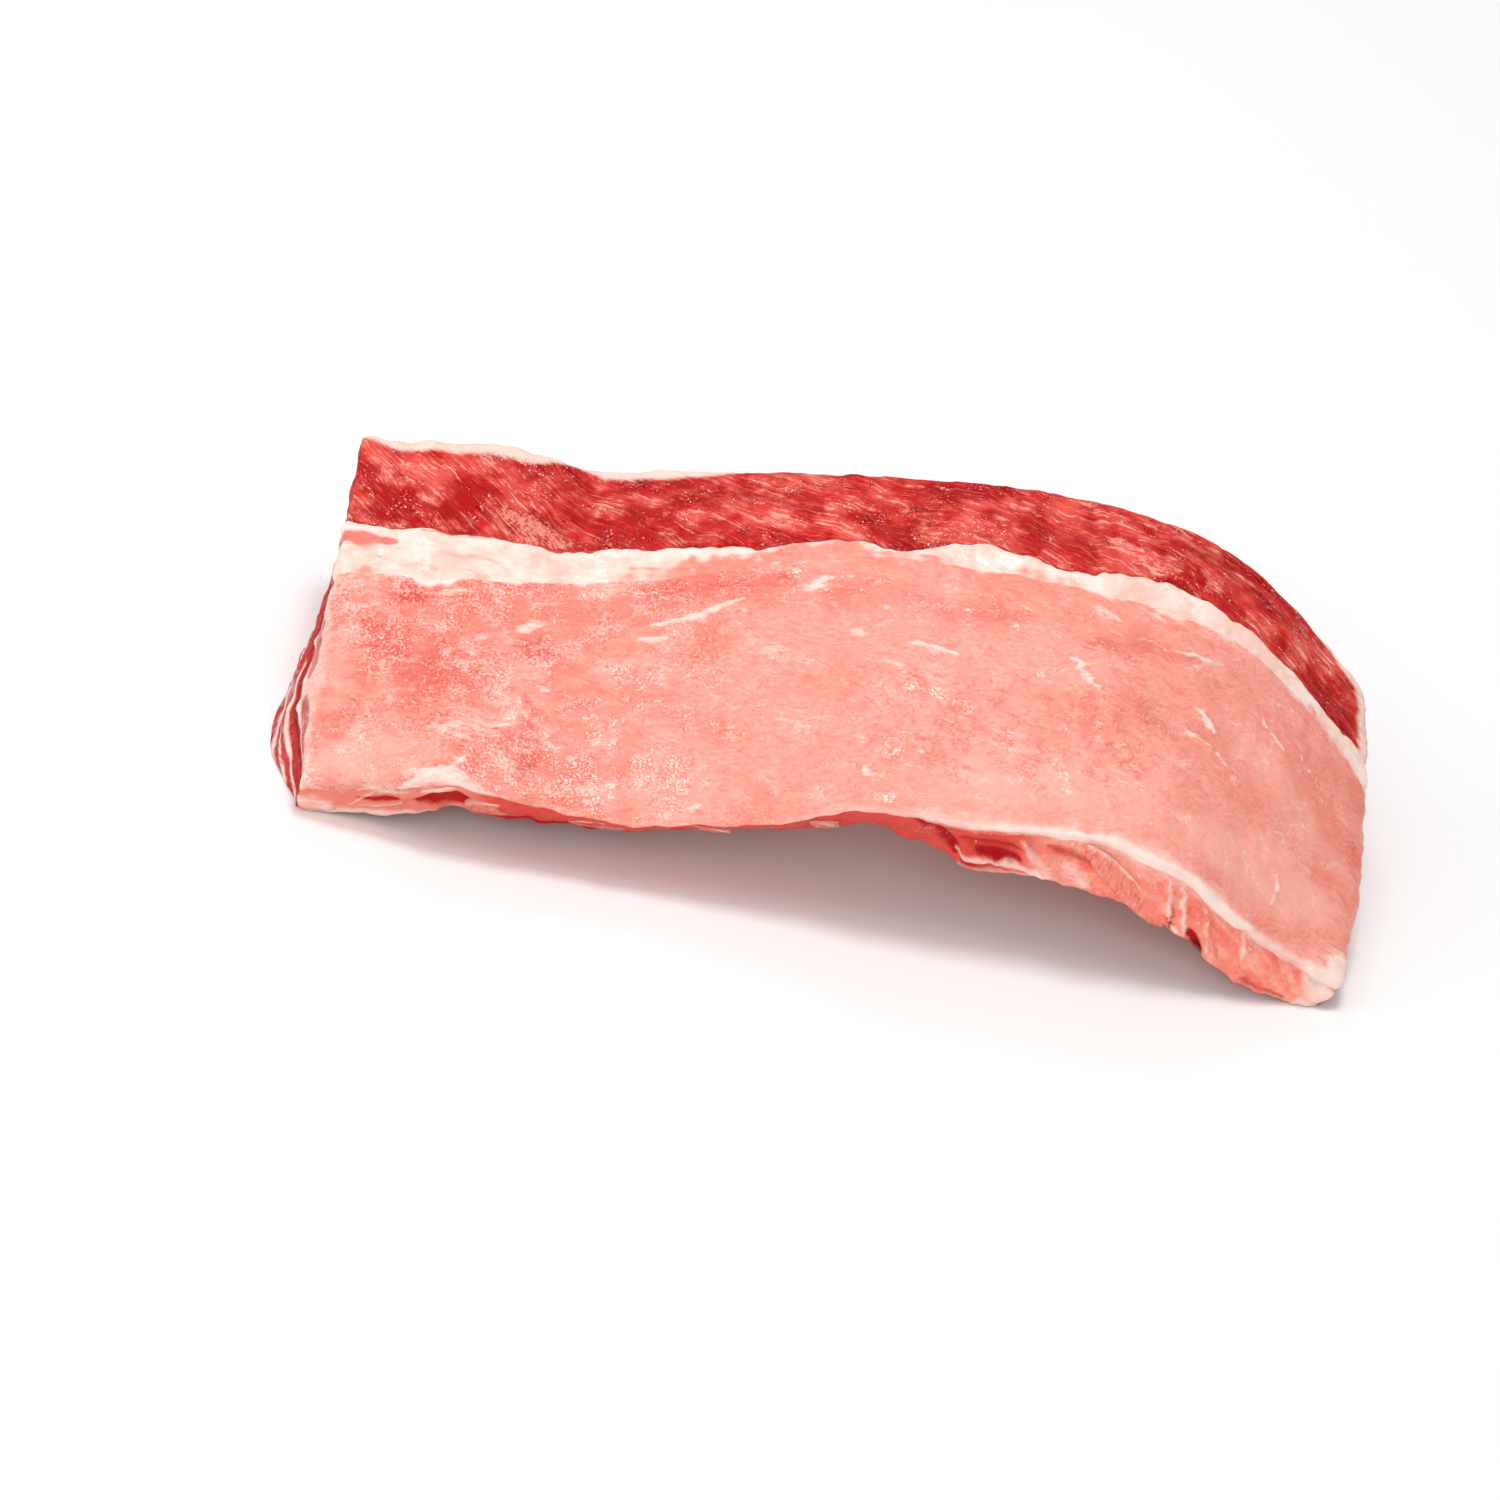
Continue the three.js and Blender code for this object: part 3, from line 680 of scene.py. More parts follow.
BLUSHES = [
    (-122, 75, -116, 72, 4.5, 1.3), (-121, 76, -119, 74, 1.8, 1.6), (-100, 81, -88, 79, 5, 0.6),
    (-88, 54, -80, 52, 5, 0.7), (-82, 8, -84, 34, 3.5, 0.6), (-134, 59, -120, 49, 12, 0.5),
    (-120, 45, -100, 41, 12, 0.4), (-60, 75, -20, 74, 7, 0.6), (-10, 68, 20, 66, 8, 0.5),
    (30, 74, 60, 70, 6, 0.3), (146, 51, 144, 41, 3, 0.6), (33, 59, 50, 64, 7, 0.3), (-70, 16, -40, 20, 14, 0.2),
    (-127, -6, -114, -3, 1.5, 1.1), (62, 60, 90, 66, 6, 0.6), (104, 32, 124, 42, 8, 0.4),
    (70, 46, 84, 40, 5, 0.5), (20, 62, 46, 67, 6, 0.6),
]
DENTS = [
    (-82, 8, -84, 36, 4, 0.9), (-120, 40, -108, 60, 9, 0.7), (-30, 30, -10, 40, 12, 0.6),
    (75, 30, 88, 50, 11, 0.6),
]
# Peach patches of the cap; the two at the right end are painted light, lightening the drooping side that turns away
# from the lamps
PEACHES_AND_PAINTED_LIGHT = [
    (-134, 6, -110, 12, 12, 0.9), (-136, 25, -134, 60, 6, 0.6), (15, 10, 105, 12, 13, 0.6),
    (95, 14, 138, 20, 13, 0.9), (110, 50, 140, 38, 14, 0.6), (-95, 30, -60, 24, 14, 0.4),
]
# The white edge along the lip: its strength and its width
RIM_X = [-140, -132, -112, -100, -85, -20, 10, 30, 50, 75, 108, 116, 134, 141, 149.5]
RIM_WHITE = [0.3, 0.1, 0.2, 0.8, 0.3, 0.35, 0.5, 0.6, 1.0, 1.1, 1.1, 0.7, 0.6, 1.1, 1.1]
RIM_WIDTH = [3, 2, 2, 3, 1.5, 1.5, 1.8, 2, 1.5, 1.5, 1.6, 1.4, 1.2, 3, 5]
# Red tongues in the cut ends of the cap, in distance from the lip and depth
END_DEEP = 10
LEFT_TONGUES = [
    (64, 4, 43, 5, 3.2, 1), (34, 4, 13, 5, 3.4, 1), (76, 4, 70, 5, 2, 0.8),
]
RIGHT_TONGUES = [
    (58, 4, 46, 5, 2.4, 0.7), (24, 4, 10, 5, 2.4, 0.7),
]
COLUMNS, CAP_ROWS, WALL_ROWS = 416, 120, 6
# How far the cap's lower edge is tucked into the meat at the lip and at the ends
TUCK, END_TUCK = 1.1, 0.44
# The lip's share of the cap's width, and the length over which its ends are tucked
LIP_SHARE, END_REACH = 0.08, 4
RELAX_ROUNDS, RELAX_SHARE = 4, 0.5


def column_x(column):
    return LEFT_END + column / COLUMNS * (RIGHT_END - LEFT_END)


def front_lap(x):
    """How far the cap hangs down over the sawn face."""
    return 2.8 + 6.0 * lapped(x)


def swellings(points):
    """The soft unevenness that the upper layers share."""
    return 0.95 * lumps(points, 34, 2, 1) + 0.5 * lumps(points, 11, 2, 2) + 0.26 * lumps(points, 4, 2, 3)


def end_drop(x, reach):
    """0 inside, rising to 1 at both ends like a quarter of a circle."""
    k = 1 - np.clip(from_end(x) / reach, 0, 1)
    return 1 - np.sqrt(np.maximum(1 - k * k, 0))


def cap_sheet():
    """The closed sheet of the cap, rounded at its edges and tucked in below."""
    xs, ts = np.linspace(LEFT_END, RIGHT_END, COLUMNS + 1), np.linspace(0, 1, CAP_ROWS + 1)
    x, t = np.meshgrid(xs, ts, indexing="ij")
    at_lip = 1 - ease(t, 0, LIP_SHARE)
    left_end, right_end = 1 - ease(x, LEFT_END, LEFT_END + END_REACH), ease(x, RIGHT_END - END_REACH, RIGHT_END)
    over_fat = np.maximum(left_end, right_end) * (fat_depth(t) + 1.2) * (1 - ease(t, 0.88, 0.98))
    top = cap_top(x, t)
    top[..., 1] -= 0.9 * ease(t, 0.965, 1.0) + 0.5 * (1 - ease(t, 0, 0.035)) ** 2
    top[..., 1] -= end_drop(x, 5) * np.minimum(2.6, 0.6 * cap_depth(t))
    bottom = below_cap(x, t, cap_depth(t) + np.maximum(front_lap(x) * at_lip, over_fat))
    bottom[..., 0] += TUCK * at_lip
    bottom = place(x, bottom)
    bottom[..., 0] += END_TUCK * (left_end - right_end)
    points, faces, where = sheet_mesh(place(x, top), bottom, WALL_ROWS)
    return relax(points, faces, np.where(where[:, 2] > 0, RELAX_SHARE, 0.0), RELAX_ROUNDS), faces, where.T


def pale_cap():
    points, faces, (column, row, height) = cap_sheet()
    px, across = column_x(column), row / CAP_ROWS * CAP_ACROSS
    v = np.where(row > 0, across, (height - 1) * (front_lap(px) + CAP_EDGE))
    smear = strokes(px, v, SMEARS, 1)
    calm = np.where(height < 1, 0.25, 0.25 + 0.75 * ease(v, 0, 5))
    lift = (swellings(points) - strokes(px, v, DENTS, 3, 0.5) + 0.4 * smear) * calm
    points += normals_of(points, faces) * (lift * (height > 0.4))[:, None]
    points[:, 2] = np.maximum(points[:, 2], 0)
    vein = ease(px, -20, 20) * (1 - ease(px, 70, 105)) * ease(v, 6, 16) * (1 - ease(v, 42, 60))
    end_wall = (height < 1) & ((column < 1) | (column > COLUMNS - 1))
    waver = 1 + 0.6 * lumps(np.stack([px, v, 0 * v], -1), 7, 2, 33)
    width = np.interp(px, RIM_X, RIM_WIDTH) * waver
    above = 0.65 * bell(v, width) + 0.35 * bell(v, 3.5 * width)
    bright = ease(px, 40, 60)
    rim = np.interp(px, RIM_X, RIM_WHITE) * np.where(v < 0, bell(v, (1.5 + 2.5 * bright) * waver), above)
    down = END_DEEP * (1 - height)
    wall_white = np.where(end_wall, np.maximum(0.5 * bell(down, 1.6), 0.95 * ease(down, 6.6, 7.8)), 0)
    tongues = [strokes(across, down, marks, seed, 0.6) for marks, seed in ((LEFT_TONGUES, 9), (RIGHT_TONGUES, 10))]
    fat_edge = (CAP_ACROSS - v + pink_reach(px)) / np.interp(px, [40, 100], [2.5, 4.5])
    masks = {
        "smear": smear, "blush": strokes(px, v, BLUSHES, 2), "peach": strokes(px, v, PEACHES_AND_PAINTED_LIGHT, 11),
        "left": 1 - ease(px, -110, 10), "vein": 0.1 + 0.9 * vein, "to_fat": 1 - ease(fat_edge, -1, 1),
        "rim": np.maximum.reduce([rim, 0.5 * bell(from_end(px), 1.8), wall_white]),
        "flesh": np.where(end_wall, 0, ease(-v, 0.9, 2.4) * (1 - lapped(px)) * (1 - 0.9 * bright)),
        "tongue": np.where(end_wall, np.where(px < 0, *tongues), 0),
    }
    return make_piece("pale_cap_meat", points, faces, masks, PORK)


cap = pale_cap()
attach(cap, "root")
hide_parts("pale_cap")


# Fat layer. Its streaks are in x and the share of the bare seam's width

STREAKS = [
    (-142, 0.54, -126, 0.58, 2.3, 1), (-60, 0.2, -46, 0.1, 1.5, 0.5), (-36, 0.9, -20, 0.8, 1.5, 0.4),
    (-120, 0.93, -100, 0.85, 0.9, 0.55), (-114, 0.45, -97, 0.3, 1.3, 0.4), (-132, 0.2, -112, 0.1, 1.5, 0.35),
]
# Rows under the cap, rising behind it and bare
FAT_HIDDEN, FAT_RISING, FAT_BARE = 12, 4, 25
BARE_FROM, BARE_WIDTH, TOE_ROWS, END_COLUMNS = FAT_HIDDEN + FAT_RISING, 14, 4, 3
# How far the fat stays behind the cap's lip and ends
INSET = 1.3


def fat_layer():
    hidden, rising = np.linspace(0, 0.9, FAT_HIDDEN), np.linspace(0.92, 0.985, FAT_RISING)
    xs = np.linspace(LEFT_END, RIGHT_END, COLUMNS + 1)
    x, t = np.meshgrid(xs, np.concatenate([hidden, rising]), indexing="ij")
    x_bare, w = np.meshgrid(xs, np.linspace(0, 1, FAT_BARE), indexing="ij")
    rise = (cap_depth(t) - 0.45) * ease(t, 0.9, 0.94)
    under_top = below_cap(x, t, cap_depth(t) + 0.4 * (1 - ease(t, 0, LIP_SHARE)) - 0.1 - rise)
    under_low = below_cap(x, t, cap_depth(t) + fat_depth(t) + 0.1)
    seam, ridge = (guide(k, x_bare) + frayed(k, x_bare) for k in ("seam", "ridge"))
    bare_top = seam + (ridge - seam) * w[..., None]
    bare_top[..., 1] += np.sin(np.pi * w**1.4) * ease(np.linalg.norm(ridge - seam, axis=-1), 2, 8)
    for sheet in (under_top, under_low):
        sheet[:, 0, 0] += INSET
    start, toe = under_low[:, -1:, :], ridge + np.array([0.0, -FAT_RIDGE])
    bare_low = start + (toe - start) * w[..., None]
    under_top, under_low = place(x, under_top), place(x, under_low)
    for sheet in (under_top, under_low):
        sheet[0, :, 0] += INSET
        sheet[-1, :, 0] -= INSET
    top = np.concatenate([under_top, place(x_bare, bare_top)], 1)
    low = np.concatenate([under_low, place(x_bare, bare_low)], 1)
    points, faces, where = sheet_mesh(top, low, WALL_ROWS)
    column, row, height = where.T
    edge = (row > BARE_FROM + FAT_BARE - 1 - TOE_ROWS) | (row < 1)
    edge = edge | (column < END_COLUMNS) | (column > COLUMNS - END_COLUMNS)
    points = relax(points, faces, np.where(edge & (height > 0), RELAX_SHARE, 0.0), RELAX_ROUNDS)
    px, share = column_x(column), np.clip((row - BARE_FROM) / (FAT_BARE - 1), 0, 1)
    lift = swellings(points) + 0.35 * lumps(points, 5, 2, 8)
    shown = ((row >= FAT_HIDDEN) | (row < 1)) & (height > 0.3)
    points += normals_of(points, faces) * (lift * shown)[:, None]
    gap = np.linalg.norm(guide("ridge", px) - guide("seam", px), axis=-1)
    creep = 0.7 + 1.1 * lumps_along(px, 7, 35) + 0.7 * lumps_along(px, 3, 36)
    streaks = [(x0, BARE_WIDTH * v0, x1, BARE_WIDTH * v1, *rest) for x0, v0, x1, v1, *rest in STREAKS]
    masks = {
        "streak": strokes(px, share * BARE_WIDTH, streaks, 4),
        "rosy": 1 - ease(share * gap - pink_reach(px), -2.5, 2.5),
        "film": 1 - ease((1 - share) * gap - creep, -0.6, 0.6),
    }
    return make_piece("fat_seam", points, faces, masks, FAT_FINISH)


fat = fat_layer()
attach(fat, "root")
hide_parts("fat_layer")


# Rib meat. Its zones, in their order round a section, are the sawn face, the part under the fat, the step at the
# ridge, the red band, the back and the bone side; the cut ends come last

FRONT, HIDDEN, WALL, BAND, BACK, UNDER, END = range(7)
ROWS = [24, 12, 3, 46, 40, 72]
STARTS = np.cumsum([0] + ROWS)
SECTIONS = 401
# The grid of the cut ends: its pitch, its start and its least distance from the outline
END_GRID, END_START, END_MARGIN = 0.85, 0.8, 0.6
# A distance that no mark reaches
FAR = 99.0
# How far the strands of the band lean
FIBRE_X, FIBRE_LEAN = np.array([-140, -90, -30, 30, 80, 150]), np.array([1.1, 0.9, 0.6, 0.45, 0.25, 0.05])
# The strands of the cut ends and the bone side lie apart from those of the band
END_TURN, UNDER_OFFSET, END_OFFSET = np.array([[0.8, -0.45], [0.5, 0.9]]), 60.0, 90.0
# The pale skin along the back edge
SKIN_X = [-140, -130, -90, -78, -70, -45, -20, 125, 135, 150]
SKIN_WIDTH = [3, 6, 6, 1, 5, 5, -2, -2, 3, 9]
# Marks on the band, in x and distance from the ridge
# The hollows are dented, and darkened with painted shade
HOLLOWS = [
    (-131, 17, -125, 10, 4.5, 1), (-137, 6, -122, 4, 2.5, 0.8), (-110, 22, -105, 3, 3, 0.9),
    (5, 1, 22, 3, 3, 0.9), (-90, 2, -60, 3, 2, 0.5), (60, 1, 100, 2, 2, 0.5), (-40, 1, 0, 2, 2, 0.5),
    (-70, 6, -40, 9, 4, 0.5),
]
MARBLES = [
    (-96, 12, -80, 5, 5, 0.8), (-92, 4, -80, 1.5, 3, 0.7), (-60, 18, -44, 14, 3, 0.4), (-20, 12, 0, 8, 4, 0.35),
    (-120, 6, -112, 3, 3, 0.5),
]
# Marks on the sawn face, in x and distance below the lip
FACE_DEEP = 14.0
MEMBRANES = [
    (47, 4.5, 57, 13, 1.8, 0.6), (31, 11, 42, 10, 1.3, 0.7), (42, 10, 50, 11.5, 1.4, 0.8),
    (50, 11.5, 55, 13.5, 1.8, 0.9), (33, 13.6, 50, 13.6, 1.5, 0.55), (18, 0.5, 50, 2, 1.6, 0.7),
    (59, 9, 66, 12, 3.5, 0.6), (87, 3, 89.5, 12, 1.1, 0.7), (91, 3.5, 94.5, 12.5, 1.1, 0.9),
    (91, 13, 93, 13.5, 1, 0.8), (99.5, 3.5, 102.5, 12, 1, 0.6), (112.5, 0, 114.5, 7, 1.8, 0.7),
    (128, 6, 131, 10, 1.4, 0.4), (133, 5, 136, 7, 1.4, 0.5), (139.5, 2, 149, 8, 6, 1),
    (142, 12, 149, 13, 4, 0.9), (50, 0.5, 110, 0.5, 2, 0.9), (-139, 8, -131, 12, 4, 0.7),
    (-140, 13, -105, 14, 2.2, 0.9), (-127, 11, -121, 5, 0.9, 0.6), (-121, 5, -113, 2, 0.9, 0.6),
    (-126, 11, -113, 9, 0.9, 0.5), (-108, 3, -100, 1, 3, 0.9),
]
# Crevices sink the face a little and are darkened with painted shade
CREVICES = [
    (23, 4, 31, 11.5, 1.9, 1), (20, 3, 26, 5, 2.5, 0.8), (31, 5, 47, 6.5, 2, 0.5), (36, 8.2, 48, 9.4, 1.3, 0.9),
    (34, 12.5, 42, 12.5, 1.3, 0.6), (54, 4.4, 67, 6.5, 1.8, 0.5), (89.5, 11, 91, 13.5, 1.1, 0.9),
    (88, 6, 90, 10, 1, 0.5), (95.5, 11.5, 99.5, 13.5, 2, 1), (104, 8, 106, 12, 1.5, 0.35),
    (116, 12.5, 136, 13, 1.2, 0.45), (-121, 4, -115, 4.5, 1.2, 0.9), (-125, 8, -115, 7, 1.2, 0.8),
    (-108, 8, -96, 10, 3.5, 1), (-96, 10, -84, 12, 2.5, 0.9), (-84, 12, -60, 13, 2, 0.9),
]
# Pockets and folds of the sawn face, with their lift in place of a strength
FOLDS = [
    (22, 4, 32, 11, 2.5, -2), (33, 6, 48, 7.5, 3, -1.8), (31, 11, 42, 10, 1.8, 0.8), (42, 10, 55, 13, 2.2, 1),
    (47, 4.5, 57, 13, 2.4, 0.8), (59, 9, 66, 12, 4, 0.8), (67, 7, 86, 12, 4.5, -0.5),
    (87, 3, 89.5, 12, 1.2, 0.6), (91, 3.5, 94.5, 12.5, 1.2, 0.8), (95.5, 11.5, 99.5, 13.5, 2.2, -1.6),
    (99.5, 3.5, 102.5, 12, 1, 0.4), (112.5, 1, 114.5, 8, 2, 0.7), (120, 6, 134, 9, 5, 0.8),
    (-121, 5, -114, 5, 1.8, -1), (-106, 8, -92, 10, 4, -1.6),
]
# White seams in the cut ends: depth and half width
SEAMS = [(13, 1.3), (18, 0.9), (23, 1.6), (31, 1.0), (39, 1.4)]
# How far the sawn face lies behind the cap at its top, and how far the ribs swell the bone side
RECESS, RIB_RAISE = 0.9, 1.6


def front_relief(x, v, dark, light):
    """How far the sawn face stands out: lobes along it, pockets, folds and raised membranes."""
    spot = np.stack([x * 0.6, v, 0 * x], -1)
    bends = sum(strokes(x, v, [(*mark, 1.0)], seed, 0.5) * lift for seed, (*mark, lift) in enumerate(FOLDS, 40))
    fine = 0.7 * lumps(spot, 6, 2, 9) + 0.35 * lumps(spot, 2.4, 2, 10) - 0.5 * dark + 0.5 * light
    return ease(v, 2.2, 5.5) * (fine + bends)


def end_seams(points, x):
    """White seams in the cut ends, in layers below the fat."""
    below = skyline(x, points[:, 1]) - points[:, 2]
    spot = np.column_stack([points[:, 1] * 0.5, below, x])
    depth = below + 2.8 * lumps(spot, 12, 2, 50) + 0.5 * lumps(spot, 3, 2, 51)
    total = np.zeros(len(points))
    for seed, (level, half) in enumerate(SEAMS, 52):
        broken = ease(lumps(spot * np.array([0.5, 1, 1]), 9, 2, seed), -0.4, 0.1)
        total = np.maximum(total, broken * bell(depth - level, half))
    return total


def meat_sections(xs):
    """The outline of the meat at each x, zone by zone."""

    def grid(zone):
        return np.meshgrid(xs, np.linspace(0, 1, ROWS[zone], endpoint=False), indexing="ij")

    lip, ridge, back, foot, cut = (guide(k, xs)[:, None] for k in ("lip", "ridge", "back", "foot", "cut"))
    edges = {k: frayed(k, xs)[:, None] for k in ("lip", "ridge", "back", "heel")}
    x, r = grid(FRONT)
    heel, neck = lip + cut + edges["heel"], lip + edges["lip"] + unit(cut) * 2.0
    front = heel + (neck - heel) * r[..., None]
    front[..., 0] += RECESS * ease(r, 0.62, 1) + 0.7 * lapped(x) * ease(r, 0.15, 0.5) - 0.5 * np.sin(np.pi * r)
    x, t = grid(HIDDEN)
    t = 0.04 + 0.96 * t
    hidden = below_cap(x, t, cap_depth(t) + fat_depth(t) + 0.4)
    _, r = grid(WALL)
    pit, start = ridge + np.array([-0.6, -FAT_RIDGE - 0.3]), ridge + np.array([-0.4, -RIDGE_STEP])
    wall = pit + (start - pit) * r[..., None] + edges["ridge"]
    _, t = grid(BAND)
    band = start + (back - start) * t[..., None]
    band[..., 1] += 3 * np.sin(np.pi * t) * (1 - 0.5 * t)
    band += edges["ridge"] * (1 - ease(t, 0, 0.15))[..., None] + edges["back"] * ease(t, 0.8, 1)[..., None]
    _, r = grid(BACK)
    rear = back + (foot - back) * r[..., None]
    rear[..., 0] += 5 * np.sin(np.pi * r)
    rear += edges["back"] * (1 - ease(r, 0, 0.25))[..., None]
    x, t = grid(UNDER)
    under = bone_side(x, 1 - t) + edges["heel"] * ease(t, 0.88, 1)[..., None]
    loop = np.concatenate([front, hidden, wall, band, rear, under], 1)
    soft = loop.copy()
    for _ in range(30):
        soft = 0.5 * soft + 0.25 * (np.roll(soft, 1, 1) + np.roll(soft, -1, 1))
    k = np.arange(loop.shape[1])
    corner = np.maximum(bell(k - STARTS[BACK], 9), bell(k - STARTS[UNDER], 9))[None, :, None]
    return loop + (soft - loop) * corner + 1.4 * bell(k - STARTS[BACK], 8)[None, :, None]


def end_face(outline, facing):
    """Fills the outline of an end: grid points inside, their distance from the outline, and triangles."""
    low, high = outline.min(0), outline.max(0)
    gy, gz = np.meshgrid(*(np.arange(low[k] + END_START, high[k], END_GRID) for k in (0, 1)))
    inside = np.column_stack([gy.ravel(), gz.ravel()])
    ahead = np.roll(outline, -1, 0)
    run = ahead - outline
    crossing = (outline[None, :, 1] > inside[:, 1:]) != (ahead[None, :, 1] > inside[:, 1:])
    with np.errstate(divide="ignore", invalid="ignore"):
        at = outline[None, :, 0] + (inside[:, 1:] - outline[None, :, 1]) / run[None, :, 1] * run[None, :, 0]
    odd = (crossing & (inside[:, :1] < at)).sum(1) % 2 == 1
    gap = np.hypot(*(inside[:, None] - outline[None]).transpose(2, 0, 1)).min(1)
    kept = odd & (gap > END_MARGIN)
    inside, gap, size = inside[kept], gap[kept], len(outline)
    flat = [Vector(p) for p in np.concatenate([outline, inside])]
    rim = [(k, (k + 1) % size) for k in range(size)]
    out, _, faces, origin, _, _ = delaunay_2d_cdt(flat, rim, [list(range(size))], 1, 1e-6)
    triangles = []
    for face in faces:
        p = [out[v] for v in face]
        area = (p[1] - p[0]).cross(p[2] - p[0])
        triangles.append([origin[v][0] for v in (face if area * facing > 0 else face[::-1])])
    return inside, gap, np.array(triangles)


def rib_meat():
    xs = np.linspace(LEFT_END, RIGHT_END, SECTIONS)
    loop = meat_sections(xs)
    size = loop.shape[1]
    x = np.repeat(xs[:, None], size, 1)
    ring = count = x.size
    ids = np.arange(ring).reshape(x.shape)
    turn = np.roll(ids, -1, 1)
    quads = np.stack([ids[:-1], ids[1:], turn[1:], turn[:-1]], -1).reshape(-1, 4)
    points, to_rim, triangles = [place(x, loop).reshape(-1, 3)], [np.zeros(ring)], []
    for end, facing in ((0, -1), (SECTIONS - 1, 1)):
        inside, gap, corners = end_face(loop[end], facing)
        triangles.append(np.concatenate([ids[end], np.arange(count, count + len(inside))])[corners])
        points.append(place(np.full(len(inside), xs[end]), inside))
        to_rim.append(gap)
        count += len(inside)
    points, faces, to_rim = np.concatenate(points), [quads, np.concatenate(triangles)], np.concatenate(to_rim)

    def joined(on_ring, on_ends):
        """Values at the points of the sections, then one value for those of the end faces."""
        return np.concatenate([on_ring, np.full(count - ring, on_ends)])

    ring_x, ring_k = x.ravel(), np.tile(np.arange(size), SECTIONS)
    ring_zone = (np.searchsorted(STARTS, np.arange(size), side="right") - 1)[ring_k]
    zone, is_end = joined(ring_zone, END), joined(np.zeros(ring), 1.0)
    px = np.concatenate([ring_x, points[ring:, 0]])
    near_end, at_end = np.maximum(is_end, bell(from_end(px), 1.5)), (px <= LEFT_END) | (px >= RIGHT_END)
    covered = np.isin(zone, [HIDDEN, WALL])
    points = relax(points, faces, RELAX_SHARE * near_end * ~covered, 6)

    step = np.linalg.norm(np.diff(np.concatenate([loop, loop[:, :1]], 1), axis=1), axis=2)
    length = np.concatenate([np.zeros((SECTIONS, 1)), np.cumsum(step, 1)[:, :-1]], 1)
    at = {z: length[:, STARTS[z]][:, None] for z in (HIDDEN, BAND, BACK)}
    ring_v, top_v = (length - at[BAND]).ravel(), (length - at[BACK]).ravel()
    band_v, face_v = joined(ring_v, FAR), joined((FACE_DEEP * (1 - length / at[HIDDEN])).ravel(), FAR)
    lean = np.interp(xs, FIBRE_X, FIBRE_LEAN)
    drift = np.concatenate([[0], np.cumsum((lean[1:] + lean[:-1]) / 2 * np.diff(xs))])
    red_zone = np.isin(ring_zone, [BAND, BACK])
    across = ring_v + np.repeat(drift, size) * (1 - ease(ring_v, 42, 60)) * red_zone
    inner = points[ring:]
    fibre = np.concatenate([
        np.column_stack([ring_x, across, np.where(ring_zone == UNDER, UNDER_OFFSET, 0.0)]),
        np.column_stack([inner[:, 1:] @ END_TURN, np.full(count - ring, END_OFFSET)]),
    ])

    on_band = np.isin(zone, [BAND, WALL]).astype(float)
    hollow, ribs = strokes(px, band_v, HOLLOWS, 5) * on_band, rib_swell(px)
    dark, light = strokes(px, face_v, CREVICES, 6, 0.6), strokes(px, face_v, MEMBRANES, 7, 0.5)
    coarse, fine = (lumps(fibre * np.array([0.05, k, 0.4]), 1, 2, seed) for k, seed in ((0.18, 4), (0.56, 5)))
    relief = 0.55 * coarse + 0.35 * fine
    to_heel = (joined(ring_k, 0) - STARTS[UNDER]) / ROWS[UNDER]
    lifts = {
        BAND: relief + 0.9 * lumps(points, 18, 2, 6) - 1.1 * hollow,
        BACK: 0.4 * relief + 0.8 * lumps(points, 14, 3, 7),
        FRONT: front_relief(px, face_v, dark, light),
        UNDER: 0.7 * lumps(points, 9, 3, 11) + RIB_RAISE * (ribs - 0.5) * np.sin(np.pi * np.clip(to_heel, 0, 1)),
        END: 0.9 * ease(to_rim, 0, 4) * lumps(points * np.array([1, 0.5, 1]), 5, 3, 12),
    }
    lift = np.select([zone == z for z in lifts], list(lifts.values()), 0.0)
    points = points + normals_of(points, faces) * lift[:, None]
    points[:, 2] = np.maximum(points[:, 2], 0)

    pale_back = np.where(zone == BACK, 0.15 + 0.5 * lumps(points * np.array([0.6, 1, 1.6]), 16, 3, 14), 0)
    width = np.interp(ring_x, SKIN_X, SKIN_WIDTH)
    skin = red_zone * (1 - ease(np.abs(top_v), width - 2, width + np.where(ring_zone == BACK, 7, 3)))
    right_rim = np.where(on_band > 0, ease(px, 143.5, 147.5), 0)
    creep = 0.6 + 1.4 * lumps_along(px, 6, 37) + 0.9 * lumps_along(px, 2.5, 38)
    fringe = np.select([zone == WALL, zone == BAND], [0.9, 1 - ease(band_v - creep, -0.7, 0.7)], 0.0)
    pale = np.maximum.reduce([pale_back, 0.95 * joined(skin, 0.0), 0.8 * right_rim, fringe])
    pale[ring:] = end_seams(inner, np.where(inner[:, 0] < 0, LEFT_END, RIGHT_END))
    edge_white = np.interp(px, RIM_X, RIM_WHITE) * bell(face_v, 3.4) * ease(px, 45, 60)
    in_front = zone == FRONT
    masks = {
        "fibre": fibre, "hollow": hollow, "marble": strokes(px, band_v, MARBLES, 8) * on_band,
        "pale": np.clip(np.where(in_front, np.maximum(light, 0.8 * edge_white), pale), 0, 1),
        "cut": (in_front & ~at_end).astype(float), "bone_side": (zone == UNDER).astype(float),
        "rib": np.where(zone == UNDER, ribs * (1 - 0.8 * ease(to_heel, 0.94, 1)), 0),
        # Where the sawn face is painted darker red as shade, in the middle
        "raw_shade": in_front * ease(px, -108, -85) * (1 - ease(px, 40, 62)),
        "end": np.maximum(is_end, (near_end > 0.02) & covered | at_end & in_front),
        "crevice": in_front * dark, "rosy": in_front * lapped(px),
    }
    return make_piece("rib_muscle", points, faces, masks, MUSCLE)


meat = rib_meat()
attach(meat, "root")
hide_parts("rib_meat")


# Rib bones: one node tree lays a flat oval along a path

